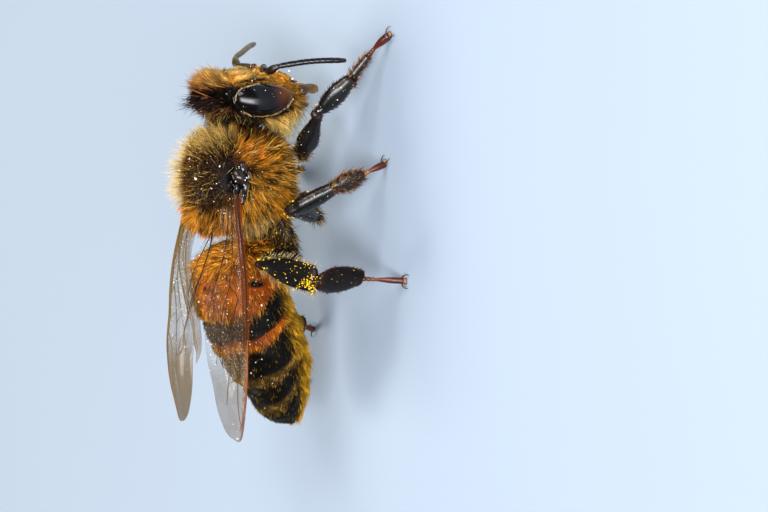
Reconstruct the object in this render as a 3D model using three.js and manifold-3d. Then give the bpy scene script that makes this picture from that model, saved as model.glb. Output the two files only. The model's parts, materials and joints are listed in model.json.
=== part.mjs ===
// A worker honey bee (Apis mellifera) standing on its six feet, at life size.
// Millimetres. +X is the way the bee faces, +Y its left, +Z up, with the floor at z = 0.
// Each solid reaches out to the tips of the hair that covers it.

import * as THREE from "three";
import { mergeVertices } from "three/addons/utils/BufferGeometryUtils.js";
import Module from "manifold-3d";

const wasm = await Module();
wasm.setup();

// ---------------------------------------------------------------- driving dimensions
const GAP = 0.06; // thin cut between neighbouring pieces
const MITRE_GAP = 0.05; // thin cut across a leg or a feeler at its joints

const THORAX = {
  centre: [0, 0, 4],
  front: 2.05,
  rear: 2.12,
  halfWidth: 2.3,
  up: 2.38,
  down: 2.3,
  boxiness: 2.7, // exponent of the upper outline; 2 is an ellipse
};
const HEAD = {
  centre: [2.96, 0, 3.82],
  front: 1.02,
  back: 0.98,
  halfWidth: 1.92,
  up: 2.05,
  down: 2.3,
};
const EYE = { centre: [2.93, 1.6, 3.86], half: [0.54, 0.44, 1.3], lean: 0.13 };
const NECK = { from: [1.6, 0, 3.55], to: [2.35, 0, 3.6], radius: 0.5 };
const PETIOLE = { from: [-1.7, 0, 2.95], to: [-2.6, 0, 3.05], radius: 0.5 };
const TEGULA = { centre: [0.12, 1.98, 4.88], half: [0.46, 0.34, 0.34] };

// Abdomen: stations along its curved middle line, from the waist to the tip.
const ABDOMEN = [
  { x: -2.2, z: 3.2, high: 0.55, wide: 0.6 },
  { x: -2.6, z: 3.72, high: 1.15, wide: 1.3 },
  { x: -3.15, z: 4.06, high: 1.55, wide: 1.84 },
  { x: -4.1, z: 4.08, high: 1.68, wide: 2.1 },
  { x: -5.3, z: 3.64, high: 1.77, wide: 2.12 },
  { x: -6.3, z: 3.28, high: 1.7, wide: 1.98 },
  { x: -7.2, z: 2.99, high: 1.45, wide: 1.72 },
  { x: -8.0, z: 2.7, high: 1.09, wide: 1.32 },
  { x: -8.6, z: 2.42, high: 0.73, wide: 0.86 },
  { x: -8.95, z: 2.25, high: 0.38, wide: 0.42 },
];
// Where the six visible rings end, as shares of the middle line's length.
const RING_ENDS = [0, 0.225, 0.435, 0.595, 0.735, 0.87, 1];
const RING_LIP = 0.035; // how far each ring's rear rim stands over the next one

const WING_THICKNESS = 0.5;
const WING_RISE = 0.2; // middle of the solid wing over the sheet that the membrane follows
// Leading edge of each fore wing from the hinge to the tip; the left wing is spread a little more.
const FOREWING_EDGES = {
  right: [[-0.45, -2.08, 4.98], [-2.3, -2.42, 4.85], [-4.1, -2.76, 4.83],
    [-6.2, -3.08, 4.87], [-8.0, -3.16, 5.02], [-9.05, -2.98, 5.2]],
  left: [[-0.4, 2.08, 5.1], [-2.2, 2.55, 5.26], [-4.1, 3.05, 5.3],
    [-6.3, 3.58, 5.29], [-8.0, 3.72, 5.22], [-8.98, 3.42, 5.08]],
};
const FOREWING = {
  chord: [0.5, 0.85, 1.45, 2.1, 2.65, 2.86, 2.75, 2.4, 1.9], // breadth at equal steps outwards
  tipFrom: 0.78, // where the outline starts to round off to the tip
  tipBreadth: 0.3,
  // Slope of the sheet towards the middle of the back, in radians, at equal steps outwards.
  roof: {
    right: [0.6, 0.6, 0.55, 0.45, 0.29, 0.15, 0.1, 0.08],
    left: [0.5, 0.4, 0.3, 0.2, 0.1, 0.05, 0, 0],
  },
};
// The hind wing shows behind the fore wing's trailing edge, from one share of its length to another.
const HINDWING = { from: 0.12, to: 0.6, chord: [0.3, 0.65, 0.9, 0.85, 0.6, 0.35, 0.15] };

// Joints of each leg: hip, trochanter, knee, ankle, end of the broad first tarsal piece, and the
// spot on the floor that the foot stands on.
const LEGS = {
  fore_right: [[0.72, -0.55, 2.42], [0.94, -1.2, 2.12], [2.4, -2.4, 1.97],
    [3.63, -3.1, 1.05], [4.41, -3.42, 0.53], [5.18, -4.14, 0]],
  fore_left: [[0.72, 0.55, 2.42], [0.94, 1.2, 2.12], [1.75, 2.8, 2.75],
    [2.25, 3.95, 1.6], [2.2, 4.05, 0.62], [2.62, 3.6, 0]],
  mid_right: [[-0.55, -0.75, 2.4], [-1.33, -1.2, 1.66], [-1.06, -2.62, 3.16],
    [-0.17, -3.5, 1.8], [0.24, -3.7, 0.86], [0.54, -3.72, 0]],
  mid_left: [[-0.55, 0.75, 2.4], [-1.1, 1.25, 1.7], [-1.2, 2.85, 3.0],
    [-0.55, 3.75, 1.5], [-0.3, 4.15, 0.62], [0.05, 3.7, 0]],
  hind_right: [[-1.5, -1.15, 3.12], [-2.7, -1.4, 2.6], [-2.88, -2.8, 4.42],
    [-3.33, -5.0, 3.1], [-3.33, -4.3, 1.15], [-3.44, -5.26, 0]],
  hind_left: [[-1.5, 1.15, 3.12], [-2.5, 1.5, 2.6], [-2.9, 3.1, 4.0],
    [-5.6, 3.35, 2.25], [-5.6, 1.8, 0.6], [-5.82, 2.6, 0]],
};
const TOE = 0.28; // how far a foot runs on past the middle of its sole
// Breadth and thickness of each leg piece at its start, where it is broadest, and at its end.
const LEG_PIECES = {
  fore: { coxa: [0.62, 0.72, 0.56], femur: [0.5, 0.72, 0.5], tibia: [0.5, 0.72, 0.56],
    basitarsus: [0.52, 0.54, 0.5], tarsus: [0.5, 0.5, 0.52] },
  mid: { coxa: [0.64, 0.74, 0.56], femur: [0.5, 0.7, 0.52], tibia: [0.52, 0.68, 0.62],
    basitarsus: [0.6, 0.76, 0.56], tarsus: [0.5, 0.5, 0.52] },
  hind: { coxa: [0.8, 1.0, 0.62], femur: [0.56, 0.78, 0.56], tibia: [0.5, 0.96, 1.12],
    basitarsus: [0.98, 1.14, 0.84], tarsus: [0.52, 0.52, 0.52] },
};
const LEG_THICKNESS = { coxa: 0.56, femur: 0.52, tibia: 0.5, basitarsus: 0.5, tarsus: 0.5 };

// Feelers: socket in the face, elbow, middle of the whip, tip.
const FEELERS = {
  right: [[3.84, -0.42, 3.32], [3.92, -1.6, 3.56], [4.17, -2.08, 2.24], [4.2, -2.5, 0.91]],
  left: [[3.84, 0.42, 3.32], [4.12, 1.58, 3.66], [4.52, 2.62, 2.76], [4.75, 3.7, 1.93]],
};
const FEELER_WIDTH = 0.5;

const MANDIBLE = { from: [3.08, 0.56, 1.95], to: [3.12, 0.28, 1.12], width: 0.5 };
const PROBOSCIS = { from: [2.55, 0, 2.2], to: [2.62, 0, 1.42], width: 0.6 };

// ---------------------------------------------------------------- finishes
const FINISH = {
  fur: { color: 0x9a6a2c, roughness: 0.95, metalness: 0 },
  shell: { color: 0x17120e, roughness: 0.3, metalness: 0 },
  amber: { color: 0x8a4a18, roughness: 0.5, metalness: 0 },
  banded: { color: 0x2a1c10, roughness: 0.5, metalness: 0 },
  eye: { color: 0x050507, roughness: 0.12, metalness: 0 },
  membrane: { color: 0xb7b6aa, roughness: 0.25, metalness: 0 },
  mouth: { color: 0x5a3418, roughness: 0.4, metalness: 0 },
};

// ---------------------------------------------------------------- making solids
const vec = (point) => new THREE.Vector3(...point);
const mirrored = (point) => [point[0], -point[1], point[2]];

// Moves every vertex of a geometry to where `place` puts it.
function shaped(geometry, place) {
  const position = geometry.attributes.position;
  for (let i = 0; i < position.count; i += 1) {
    const point = place(new THREE.Vector3().fromBufferAttribute(position, i));
    position.setXYZ(i, point.x, point.y, point.z);
  }
  geometry.computeVertexNormals();
  return geometry;
}

function solidOf(geometry) {
  const bare = geometry.clone();
  bare.deleteAttribute("normal");
  bare.deleteAttribute("uv");
  const merged = mergeVertices(bare, 1e-5);
  return new wasm.Manifold(new wasm.Mesh({
    numProp: 3,
    vertProperties: new Float32Array(merged.attributes.position.array),
    triVerts: new Uint32Array(merged.index.array),
  }));
}

function geometryOf(solid) {
  const mesh = solid.getMesh();
  const geometry = new THREE.BufferGeometry();
  geometry.setAttribute("position", new THREE.BufferAttribute(mesh.vertProperties, 3));
  geometry.setIndex(new THREE.BufferAttribute(mesh.triVerts, 1));
  geometry.computeVertexNormals();
  return geometry;
}

// The geometry with the others cut out of it, each grown about its own middle by GAP.
function without(geometry, others) {
  let solid = solidOf(geometry);
  for (const other of others) {
    const grown = other.clone();
    grown.computeBoundingBox();
    const middle = grown.boundingBox.getCenter(new THREE.Vector3());
    const size = grown.boundingBox.getSize(new THREE.Vector3());
    shaped(grown, (p) => p.sub(middle).set(
      p.x * (1 + (2 * GAP) / size.x),
      p.y * (1 + (2 * GAP) / size.y),
      p.z * (1 + (2 * GAP) / size.z),
    ).add(middle));
    solid = solid.subtract(solidOf(grown));
  }
  return geometryOf(solid);
}

// A smooth curve through numbers at equal steps, read at a share from 0 to 1.
function blended(values) {
  const curve = new THREE.SplineCurve(values.map((v, i) => new THREE.Vector2(i, v)));
  return (share) => curve.getPoint(share).y;
}

const group = new THREE.Group();
function add(name, geometry, finish) {
  const mesh = new THREE.Mesh(geometry, new THREE.MeshStandardMaterial({ ...FINISH[finish] }));
  mesh.name = name;
  group.add(mesh);
}

// ---------------------------------------------------------------- body
function thoraxShape() {
  const { centre, front, rear, halfWidth, up, down, boxiness } = THORAX;
  return shaped(new THREE.SphereGeometry(1, 24, 16), (p) => {
    // A higher exponent above the middle pushes the shoulders out into a squarer hump.
    const power = p.z > 0 ? 2 + (boxiness - 2) * Math.min(1, p.z * 3) : 2;
    const sum = Math.abs(p.x) ** power + Math.abs(p.y) ** power + Math.abs(p.z) ** power;
    p.multiplyScalar(sum ** (-1 / power));
    p.x *= p.x > 0 ? front : rear;
    p.y *= halfWidth;
    p.z *= p.z > 0 ? up : down - 0.35 * Math.max(0, p.x / front); // slimmer under the neck
    return p.add(vec(centre));
  });
}

function headShape() {
  const { centre, front, back, halfWidth, up, down } = HEAD;
  const taper = blended([0.72, 0.8, 0.93, 1.02, 1.02, 1.0, 0.98]);
  return shaped(new THREE.SphereGeometry(1, 20, 14).rotateX(Math.PI / 2), (p) => {
    const share = (p.z + 1) / 2;
    const slope = 0.8 + 0.2 * Math.min(1, share * 2.2); // the face slopes back to the mouth
    p.x *= p.x > 0 ? front * slope : back;
    p.y *= halfWidth * taper(share);
    p.z *= p.z > 0 ? up : down;
    return p.add(vec(centre));
  });
}

function eyeShape(side) {
  const geometry = new THREE.SphereGeometry(1, 12, 10);
  geometry.scale(...EYE.half);
  geometry.rotateX(side * EYE.lean); // the two eyes draw together towards the crown
  return geometry.translate(EYE.centre[0], side * EYE.centre[1], EYE.centre[2]);
}

// The abdomen's skin at a share of its length, an angle round it and a share of its radius.
const abdomenLine = new THREE.CatmullRomCurve3(ABDOMEN.map(({ x, z }) => new THREE.Vector3(x, 0, z)));
const abdomenHigh = blended(ABDOMEN.map(({ high }) => high));
const abdomenWide = blended(ABDOMEN.map(({ wide }) => wide));

function ringShape(index) {
  const cut = 0.0035; // half of the thin cut, as a share of the length
  const from = RING_ENDS[index] + (index > 0 ? cut : 0);
  const to = RING_ENDS[index + 1] - (index < RING_ENDS.length - 2 ? cut : 0);
  return shaped(new THREE.CylinderGeometry(1, 1, 1, 24, 4), (p) => {
    const along = p.y + 0.5;
    const share = from + (to - from) * along;
    const middle = abdomenLine.getPoint(share);
    const lip = RING_LIP * along;
    const wide = abdomenWide(share) * (1 + lip) * 0.985;
    const high = abdomenHigh(share) * (1 + lip) * 0.985;
    // Sections stand square to the ground line of the body and lean with the middle line.
    const lean = -0.28 * (share - 0.2);
    const up = p.z * high;
    return new THREE.Vector3(middle.x - up * Math.sin(lean), p.x * wide, middle.z + up * Math.cos(lean));
  });
}

function stub({ from, to, radius }) {
  const length = vec(to).distanceTo(vec(from));
  const geometry = new THREE.CylinderGeometry(radius, radius, length, 10, 1);
  geometry.rotateZ(-Math.PI / 2);
  const middle = vec(from).lerp(vec(to), 0.5);
  return geometry.translate(middle.x, middle.y, middle.z);
}

// ---------------------------------------------------------------- legs, feelers and mouthparts
// The plane that parts two pieces at a joint halves the angle between them.
function mitre(joints, index) {
  const normal = new THREE.Vector3();
  if (index > 0) normal.add(joints[index].clone().sub(joints[index - 1]).normalize());
  if (index < joints.length - 1) normal.add(joints[index + 1].clone().sub(joints[index]).normalize());
  return normal.normalize();
}

// One piece of a limb between joint `index` and the next, oval in section.
function limbPiece(joints, index, { breadth, thickness, broad, sides = 10, rings = 5 }) {
  const start = joints[index];
  const end = joints[index + 1];
  const axis = end.clone().sub(start);
  const length = axis.length();
  axis.normalize();
  const across = broad.clone().addScaledVector(axis, -broad.dot(axis)).normalize();
  const through = across.clone().cross(axis);
  const startCut = mitre(joints, index);
  const endCut = mitre(joints, index + 1);
  return shaped(new THREE.CylinderGeometry(1, 1, 1, sides, rings), (p) => {
    const share = p.y + 0.5;
    const out = across.clone().multiplyScalar((p.x * breadth(share)) / 2)
      .addScaledVector(through, (p.z * thickness(share)) / 2);
    const first = (MITRE_GAP / 2 - startCut.dot(out)) / startCut.dot(axis);
    const last = length - (MITRE_GAP / 2 + endCut.dot(out)) / endCut.dot(axis);
    return out.add(start).addScaledVector(axis, first + (last - first) * share);
  });
}

// Trims what would reach under the floor, which leaves a small flat sole.
function onFloor(geometry) {
  const depth = 2;
  const ground = new THREE.BoxGeometry(40, 40, depth).translate(0, 0, -depth / 2);
  return geometryOf(solidOf(geometry).subtract(solidOf(ground)));
}

function legGeometries(legName) {
  const joints = LEGS[legName].map(vec);
  const foot = joints.pop();
  const along = foot.clone().sub(joints[4]).normalize();
  joints.push(foot.addScaledVector(along, TOE));
  const breadths = LEG_PIECES[legName.split("_")[0]];
  const outward = new THREE.Vector3(0, Math.sign(joints[5].y), 0);
  const alongBody = new THREE.Vector3(1, 0, 0).addScaledVector(outward, 0.35);
  return Object.entries(breadths).map(([piece, [begin, most, end]], index) => {
    const thick = LEG_THICKNESS[piece];
    const shape = limbPiece(joints, index, {
      breadth: blended([begin, most, (most + end) / 2, end]),
      thickness: () => thick,
      broad: legName.startsWith("hind") ? alongBody : new THREE.Vector3(0.55, 0, 1),
      rings: piece === "tarsus" ? 6 : 4,
    });
    return [`${legName}_${piece}`, piece === "tarsus" ? onFloor(shape) : shape];
  });
}

function feelerGeometries(side) {
  const [socket, elbow, middle, tip] = FEELERS[side].map(vec);
  const width = () => FEELER_WIDTH;
  const section = { breadth: width, thickness: width, broad: new THREE.Vector3(1, 0, 0.2), sides: 8 };
  const scape = limbPiece([socket, elbow, middle], 0, { ...section, rings: 2 });
  const whip = limbPiece([socket, elbow, tip], 1, { ...section, rings: 8 });
  const bow = middle.clone().sub(elbow.clone().lerp(tip, 0.5));
  const length = tip.distanceTo(elbow);
  const curved = shaped(whip, (p) => {
    const share = Math.min(1, Math.max(0, p.distanceTo(elbow) / length));
    return p.addScaledVector(bow, Math.sin(Math.PI * share));
  });
  return { scape, flagellum: curved };
}

function mouthPiece({ from, to, width }, side) {
  const ends = side < 0 ? [mirrored(from), mirrored(to)] : [from, to];
  return limbPiece(ends.map(vec), 0, {
    breadth: blended([width * 1.25, width * 1.1, width]),
    thickness: () => width,
    broad: new THREE.Vector3(0, 1, 0),
    sides: 8,
    rings: 3,
  });
}

// ---------------------------------------------------------------- wings
const wingBreadth = blended(FOREWING.chord);
function wingChord(share) {
  const beyond = Math.max(0, (share - FOREWING.tipFrom) / (1 - FOREWING.tipFrom));
  return Math.max(FOREWING.tipBreadth, wingBreadth(share) * Math.sqrt(1 - beyond ** 2));
}

// The sheet that a side's two wings lie in, as a function of the share of the fore wing's length,
// the distance behind the leading edge and the height over the sheet.
function wingSheet(name, side) {
  const leading = new THREE.CatmullRomCurve3(FOREWING_EDGES[name].map(vec));
  const roofAt = blended(FOREWING.roof[name]);
  return (share, back, height) => {
    const roof = roofAt(share);
    const inward = new THREE.Vector3(0, -side * Math.cos(roof), Math.sin(roof));
    const upward = new THREE.Vector3(0, side * Math.sin(roof), Math.cos(roof));
    return leading.getPoint(share)
      .addScaledVector(inward, back)
      .addScaledVector(upward, height + WING_RISE);
  };
}

// A slab of the sheet between a front and a back line, from one share of the length to another.
function wingSlab(sheet, side, [from, to], frontLine, backLine) {
  const slab = shaped(new THREE.BoxGeometry(1, 1, 1, 16, 3, 1), (p) => {
    const share = from + (to - from) * Math.sin((0.5 - p.x) * 0.5 * Math.PI); // closer towards the tip
    const back = THREE.MathUtils.lerp(backLine(share), frontLine(share), p.y + 0.5);
    return sheet(share, back, p.z * WING_THICKNESS);
  });
  if (side < 0) slab.index.array.reverse(); // a mirrored slab would be inside out
  return slab;
}

function wingGeometries(name, side) {
  const sheet = wingSheet(name, side);
  const { from, to, chord } = HINDWING;
  const behind = blended(chord);
  const seam = (share) => wingChord(share) + GAP;
  const rear = (share) => seam(share) + behind((share - from) / (to - from));
  return {
    fore: wingSlab(sheet, side, [0, 1], () => 0, wingChord),
    hind: wingSlab(sheet, side, [from, to], seam, rear),
  };
}

// ---------------------------------------------------------------- assembly
const head = headShape();
const neck = stub(NECK);
const petiole = stub(PETIOLE);
const SIDES = { left: 1, right: -1 };

const eyes = {};
const tegulae = {};
const mandibles = {};
for (const [name, side] of Object.entries(SIDES)) {
  const [x, y, z] = TEGULA.centre;
  eyes[name] = eyeShape(side);
  tegulae[name] = new THREE.SphereGeometry(1, 10, 6).scale(...TEGULA.half).translate(x, side * y, z);
  mandibles[name] = mouthPiece(MANDIBLE, side);
}
const proboscis = mouthPiece(PROBOSCIS, 1);

const thorax = without(thoraxShape(), [head, neck, petiole, tegulae.left, tegulae.right]);
add("thorax", thorax, "fur");
add("head", without(head, [neck, eyes.left, eyes.right, mandibles.left, mandibles.right, proboscis]), "fur");
add("neck", neck, "fur");
add("petiole", petiole, "shell");
add("proboscis", proboscis, "mouth");

for (let index = 0; index < RING_ENDS.length - 1; index += 1) {
  const ring = ringShape(index);
  add(`abdomen_${index + 1}`, index === 0 ? without(ring, [petiole]) : ring, index < 2 ? "amber" : "banded");
}

for (const [name, side] of Object.entries(SIDES)) {
  add(`eye_${name}`, eyes[name], "eye");
  add(`tegula_${name}`, tegulae[name], "shell");
  add(`mandible_${name}`, mandibles[name], "mouth");
  const wings = wingGeometries(name, side);
  add(`forewing_${name}`, without(wings.fore, [thoraxShape(), tegulae[name]]), "membrane");
  add(`hindwing_${name}`, without(wings.hind, [thoraxShape()]), "membrane");
  const feeler = feelerGeometries(name);
  add(`antenna_${name}_scape`, without(feeler.scape, [head]), "shell");
  add(`antenna_${name}_flagellum`, feeler.flagellum, "shell");
}

for (const legName of Object.keys(LEGS)) {
  for (const [name, geometry] of legGeometries(legName)) {
    const isHip = name.endsWith("coxa");
    add(name, isHip ? without(geometry, [thoraxShape()]) : geometry, "shell");
  }
}

// The origin is the middle of the footprint, on the floor.
const box = new THREE.Box3().setFromObject(group);
const middle = box.getCenter(new THREE.Vector3());
group.position.set(-middle.x, -middle.y, -box.min.z);

export default group;
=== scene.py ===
# %% [markdown]
# # A worker honey bee, life size
# A museum model of a worker bee, fourteen millimetres long, on a plain floor. The solid model gives
# every part its place and outer limit. This lesson makes what the eye sees inside those limits:
# glossy plates, banded rings, veined wings, jointed feet and a coat of fine hairs. It works in
# millimetres, and each finished piece is scaled to metres in one place.

# %% Load the solid model
import json
import math
import bmesh
import bpy
import numpy as np
from mathutils import Matrix, Vector
from mathutils.kdtree import KDTree

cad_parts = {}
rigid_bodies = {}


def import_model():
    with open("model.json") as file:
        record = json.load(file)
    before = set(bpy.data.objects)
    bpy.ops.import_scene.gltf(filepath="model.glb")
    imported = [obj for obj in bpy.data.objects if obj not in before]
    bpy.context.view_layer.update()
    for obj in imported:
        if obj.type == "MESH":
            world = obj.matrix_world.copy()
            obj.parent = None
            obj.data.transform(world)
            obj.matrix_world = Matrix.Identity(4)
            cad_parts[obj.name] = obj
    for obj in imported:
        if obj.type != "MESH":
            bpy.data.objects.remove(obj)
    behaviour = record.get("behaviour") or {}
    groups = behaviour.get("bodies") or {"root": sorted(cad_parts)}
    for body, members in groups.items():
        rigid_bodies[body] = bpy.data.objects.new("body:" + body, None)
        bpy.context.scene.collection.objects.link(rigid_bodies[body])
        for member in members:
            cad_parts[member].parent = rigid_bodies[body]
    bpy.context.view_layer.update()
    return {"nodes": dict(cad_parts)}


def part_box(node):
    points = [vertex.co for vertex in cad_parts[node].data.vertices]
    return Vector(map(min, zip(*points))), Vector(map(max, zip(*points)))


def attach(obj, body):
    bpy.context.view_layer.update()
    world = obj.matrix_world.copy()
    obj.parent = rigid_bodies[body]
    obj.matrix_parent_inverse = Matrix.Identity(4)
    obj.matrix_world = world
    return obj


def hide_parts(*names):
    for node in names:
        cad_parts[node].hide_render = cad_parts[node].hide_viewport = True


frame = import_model()
MM = 0.001


def put(name, data):
    """A new object of the scene that holds a mesh, a lamp or a camera."""
    item = bpy.data.objects.new(name, data)
    bpy.context.scene.collection.objects.link(item)
    return item


# %% [markdown]
# Every place in the lesson is measured on the solid model. The helpers find the box of a few nodes,
# the triangles of one node, and the outline where a plane cuts it: the points where the edges of
# its triangles cross the plane.

# %% Measuring helpers
def box_mm(*nodes):
    """Lowest and highest corner of some nodes together, in millimetres."""
    lows = [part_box(node)[0] for node in nodes]
    highs = [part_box(node)[1] for node in nodes]
    low = Vector(min(corner[axis] for corner in lows) for axis in range(3))
    high = Vector(max(corner[axis] for corner in highs) for axis in range(3))
    return low / MM, high / MM


def middle_and_reach(*nodes):
    """The middle of some nodes' box, and half its size along each axis."""
    low, high = box_mm(*nodes)
    return np.array(low + high) / 2, np.array(high - low) / 2


def read_threes(items, name, kind=float):
    """Three numbers of each of a mesh's items, as the rows of an array."""
    flat = np.empty(len(items) * 3, dtype=kind)
    items.foreach_get(name, flat)
    return flat.reshape(-1, 3)


def points_mm(node):
    """The corners of a node's triangles, three for each, in millimetres."""
    mesh = frame["nodes"][node].data
    mesh.calc_loop_triangles()
    corners = read_threes(mesh.loop_triangles, "vertices", int)
    return read_threes(mesh.vertices, "co")[corners] / MM


def cut_at(triangles, level):
    """The points where the plane at a level of the first axis crosses the triangles' edges."""
    starts = triangles.reshape(-1, 3)
    ends = triangles[:, [1, 2, 0]].reshape(-1, 3)
    before = starts[:, 0] - level
    after = ends[:, 0] - level
    crossing = before * after < 0
    share = before[crossing] / (before[crossing] - after[crossing])
    return starts[crossing] + share[:, None] * (ends[crossing] - starts[crossing])


thorax_low, thorax_high = box_mm("thorax")
MIDDLE = (thorax_low + thorax_high) / 2
print("middle of the thorax, mm:", [round(c, 2) for c in MIDDLE])


# %% [markdown]
# ## Camera
# The bee is shown from its right side, a little from above, with its head at the top of the
# picture. So the camera looks across it from 25 degrees above the floor, rolled until the body
# stands upright. A long lens far off keeps the small body free of perspective.

# %% Camera
CAMERA_TURN = math.radians(5)
CAMERA_RISE = math.radians(25)
CAMERA_FAR = 110
CAMERA_LENS = 144.4
AIM_RIGHT = 5.143
AIM_DOWN = 2.734
CLIP_NEAR = 1
CLIP_FAR = 10000

back = Vector((
    math.sin(CAMERA_TURN) * math.cos(CAMERA_RISE),
    -math.cos(CAMERA_TURN) * math.cos(CAMERA_RISE),
    math.sin(CAMERA_RISE),
))
picture_up = (Vector((1, 0, 0)) - back * back.x).normalized()
picture_right = picture_up.cross(back)
aim = MIDDLE + picture_right * AIM_RIGHT - picture_up * AIM_DOWN

camera_data = bpy.data.cameras.new("camera")
camera_data.lens = CAMERA_LENS
camera_data.clip_start = CLIP_NEAR * MM
camera_data.clip_end = CLIP_FAR * MM
camera = put("camera", camera_data)
camera.rotation_mode = "QUATERNION"
looking = np.array([picture_right, picture_up, back]).T
camera.rotation_quaternion = Matrix(looking.tolist()).to_quaternion()
camera.location = (aim + back * CAMERA_FAR) * MM
bpy.context.scene.camera = camera
print("camera at, mm:", [round(c / MM, 1) for c in camera.location])


# %% [markdown]
# ## Finishes
# A finish here is one Principled shader. Its colour comes from a noise between two shades, or from a
# colour that a piece carries on its own points where it has markings, and its bump comes from fine
# pits. Object coordinates are in metres, so a pattern that repeats each hundredth of a millimetre
# has a scale of 100000.

# %% Finish helpers
PER_MM = 1000
COAT_ROUGH = 0.14
NOISE_DETAIL = 3.0


def tint(red, green, blue):
    """A screen colour from 0 to 255 as the linear colour that a shader reads."""
    screen = np.array([red, green, blue]) / 255
    low = screen / 12.92
    high = ((screen + 0.055) / 1.055) ** 2.4
    return np.where(screen <= 0.04045, low, high)


def rgba(colour):
    """A linear colour with full alpha."""
    return (*map(float, colour), 1.0)


def new_finish(name, rough, gloss=0.5, coat=0.0):
    """An empty Principled finish with its plain numbers on its own sockets."""
    finish = bpy.data.materials.new(name)
    finish.use_nodes = True
    shader = finish.node_tree.nodes["Principled BSDF"]
    shader.inputs["Roughness"].default_value = rough
    shader.inputs["Specular IOR Level"].default_value = gloss
    shader.inputs["Coat Weight"].default_value = coat
    shader.inputs["Coat Roughness"].default_value = COAT_ROUGH
    return finish


def into_shader(finish, output, socket):
    """Joins a node's output to a socket of the finish's shader."""
    shader = finish.node_tree.nodes["Principled BSDF"]
    finish.node_tree.links.new(output, shader.inputs[socket])


def pattern_into(finish, kind, per_mm):
    """A pattern node on Object coordinates with so many features in each millimetre."""
    nodes = finish.node_tree.nodes
    place = nodes.new("ShaderNodeTexCoord")
    pattern = nodes.new(kind)
    pattern.inputs["Scale"].default_value = per_mm * PER_MM
    finish.node_tree.links.new(place.outputs["Object"], pattern.inputs["Vector"])
    return pattern


def noise_into(finish, per_mm):
    """The strength of a soft noise."""
    noise = pattern_into(finish, "ShaderNodeTexNoise", per_mm)
    noise.inputs["Detail"].default_value = NOISE_DETAIL
    return noise.outputs["Fac"]


def noise_shades(finish, per_mm, first, second, low, high):
    """A colour that follows a noise: one shade up to low, another from high."""
    shades = finish.node_tree.nodes.new("ShaderNodeValToRGB")
    stops = shades.color_ramp.elements
    for stop, position, colour in zip(stops, (low, high), (first, second)):
        stop.position = position
        stop.color = rgba(colour)
    finish.node_tree.links.new(noise_into(finish, per_mm), shades.inputs["Fac"])
    return shades.outputs["Color"]


def two_shades(finish, first, second, per_mm):
    """Colours a finish by a soft noise between two shades."""
    into_shader(finish, noise_shades(finish, per_mm, first, second, 0.35, 0.65), "Base Color")


def carried_colour(finish, layer, per_mm=None, strength=0.35):
    """Colours a finish by the colour that the piece carries, with a soft noise over it."""
    nodes = finish.node_tree.nodes
    carried = nodes.new("ShaderNodeAttribute")
    carried.attribute_name = layer
    colour = carried.outputs["Color"]
    if per_mm:
        mottle = nodes.new("ShaderNodeMix")
        mottle.data_type = "RGBA"
        mottle.blend_type = "MULTIPLY"
        mottle.inputs["Factor"].default_value = strength
        shades = noise_shades(finish, per_mm, (0, 0, 0), (1, 1, 1), 0.3, 0.7)
        finish.node_tree.links.new(colour, mottle.inputs["A"])
        finish.node_tree.links.new(shades, mottle.inputs["B"])
        colour = mottle.outputs["Result"]
    into_shader(finish, colour, "Base Color")


def pitted(finish, per_mm, strength, depth_mm=0.01, cells=False):
    """Bump from fine pits: a noise, or cells as on a faceted eye."""
    if cells:
        height = pattern_into(finish, "ShaderNodeTexVoronoi", per_mm).outputs["Distance"]
    else:
        height = noise_into(finish, per_mm)
    bump = finish.node_tree.nodes.new("ShaderNodeBump")
    bump.inputs["Strength"].default_value = strength
    bump.inputs["Distance"].default_value = depth_mm * MM
    bump.invert = cells
    finish.node_tree.links.new(height, bump.inputs["Height"])
    into_shader(finish, bump.outputs["Normal"], "Normal")


# %% [markdown]
# These are the finishes of the whole bee. The shells are dark and glossy. The skin finish reads the
# colour that the piece carries, so the coat that grows on it is coloured by the same markings.

# %% The finishes
SOOT = tint(16, 13, 12)

shell_black = new_finish("shell_black", rough=0.24, gloss=0.45)
two_shades(shell_black, SOOT, tint(40, 26, 19), per_mm=1.6)
pitted(shell_black, per_mm=22, strength=0.25)

hinge_black = new_finish("hinge_black", rough=0.22, gloss=0.36, coat=0.1)
two_shades(hinge_black, tint(10, 8, 8), tint(30, 20, 16), per_mm=2.5)
pitted(hinge_black, per_mm=14, strength=0.12)

skin_finish = new_finish("skin", rough=0.46, gloss=0.06)
carried_colour(skin_finish, "marking", per_mm=2.2)
pitted(skin_finish, per_mm=26, strength=0.35)

leg_finish = new_finish("leg_shell", rough=0.27, gloss=0.42)
carried_colour(leg_finish, "marking", per_mm=3.0, strength=0.5)
pitted(leg_finish, per_mm=20, strength=0.3)
hind_leg_finish = new_finish("hind_leg_shell", rough=0.36, gloss=0.11)
carried_colour(hind_leg_finish, "marking", per_mm=3.0, strength=0.5)
pitted(hind_leg_finish, per_mm=20, strength=0.3)

eye_finish = new_finish("eye", rough=0.22, gloss=0.06, coat=0.42)
carried_colour(eye_finish, "marking")
pitted(eye_finish, per_mm=38, strength=0.12, depth_mm=0.004, cells=True)

hair_finish = new_finish("hair", rough=0.6, gloss=0.06)
carried_colour(hair_finish, "marking")

pad_finish = new_finish("foot_pad", rough=0.35)
two_shades(pad_finish, tint(150, 118, 78), tint(96, 66, 42), per_mm=9)
pitted(pad_finish, per_mm=30, strength=0.3)

grain_finish = new_finish("grains", rough=0.7, gloss=0.3)
carried_colour(grain_finish, "marking")

vein_finish = new_finish("wing_veins", rough=0.4, gloss=0.10)
carried_colour(vein_finish, "marking", per_mm=4)


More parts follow.
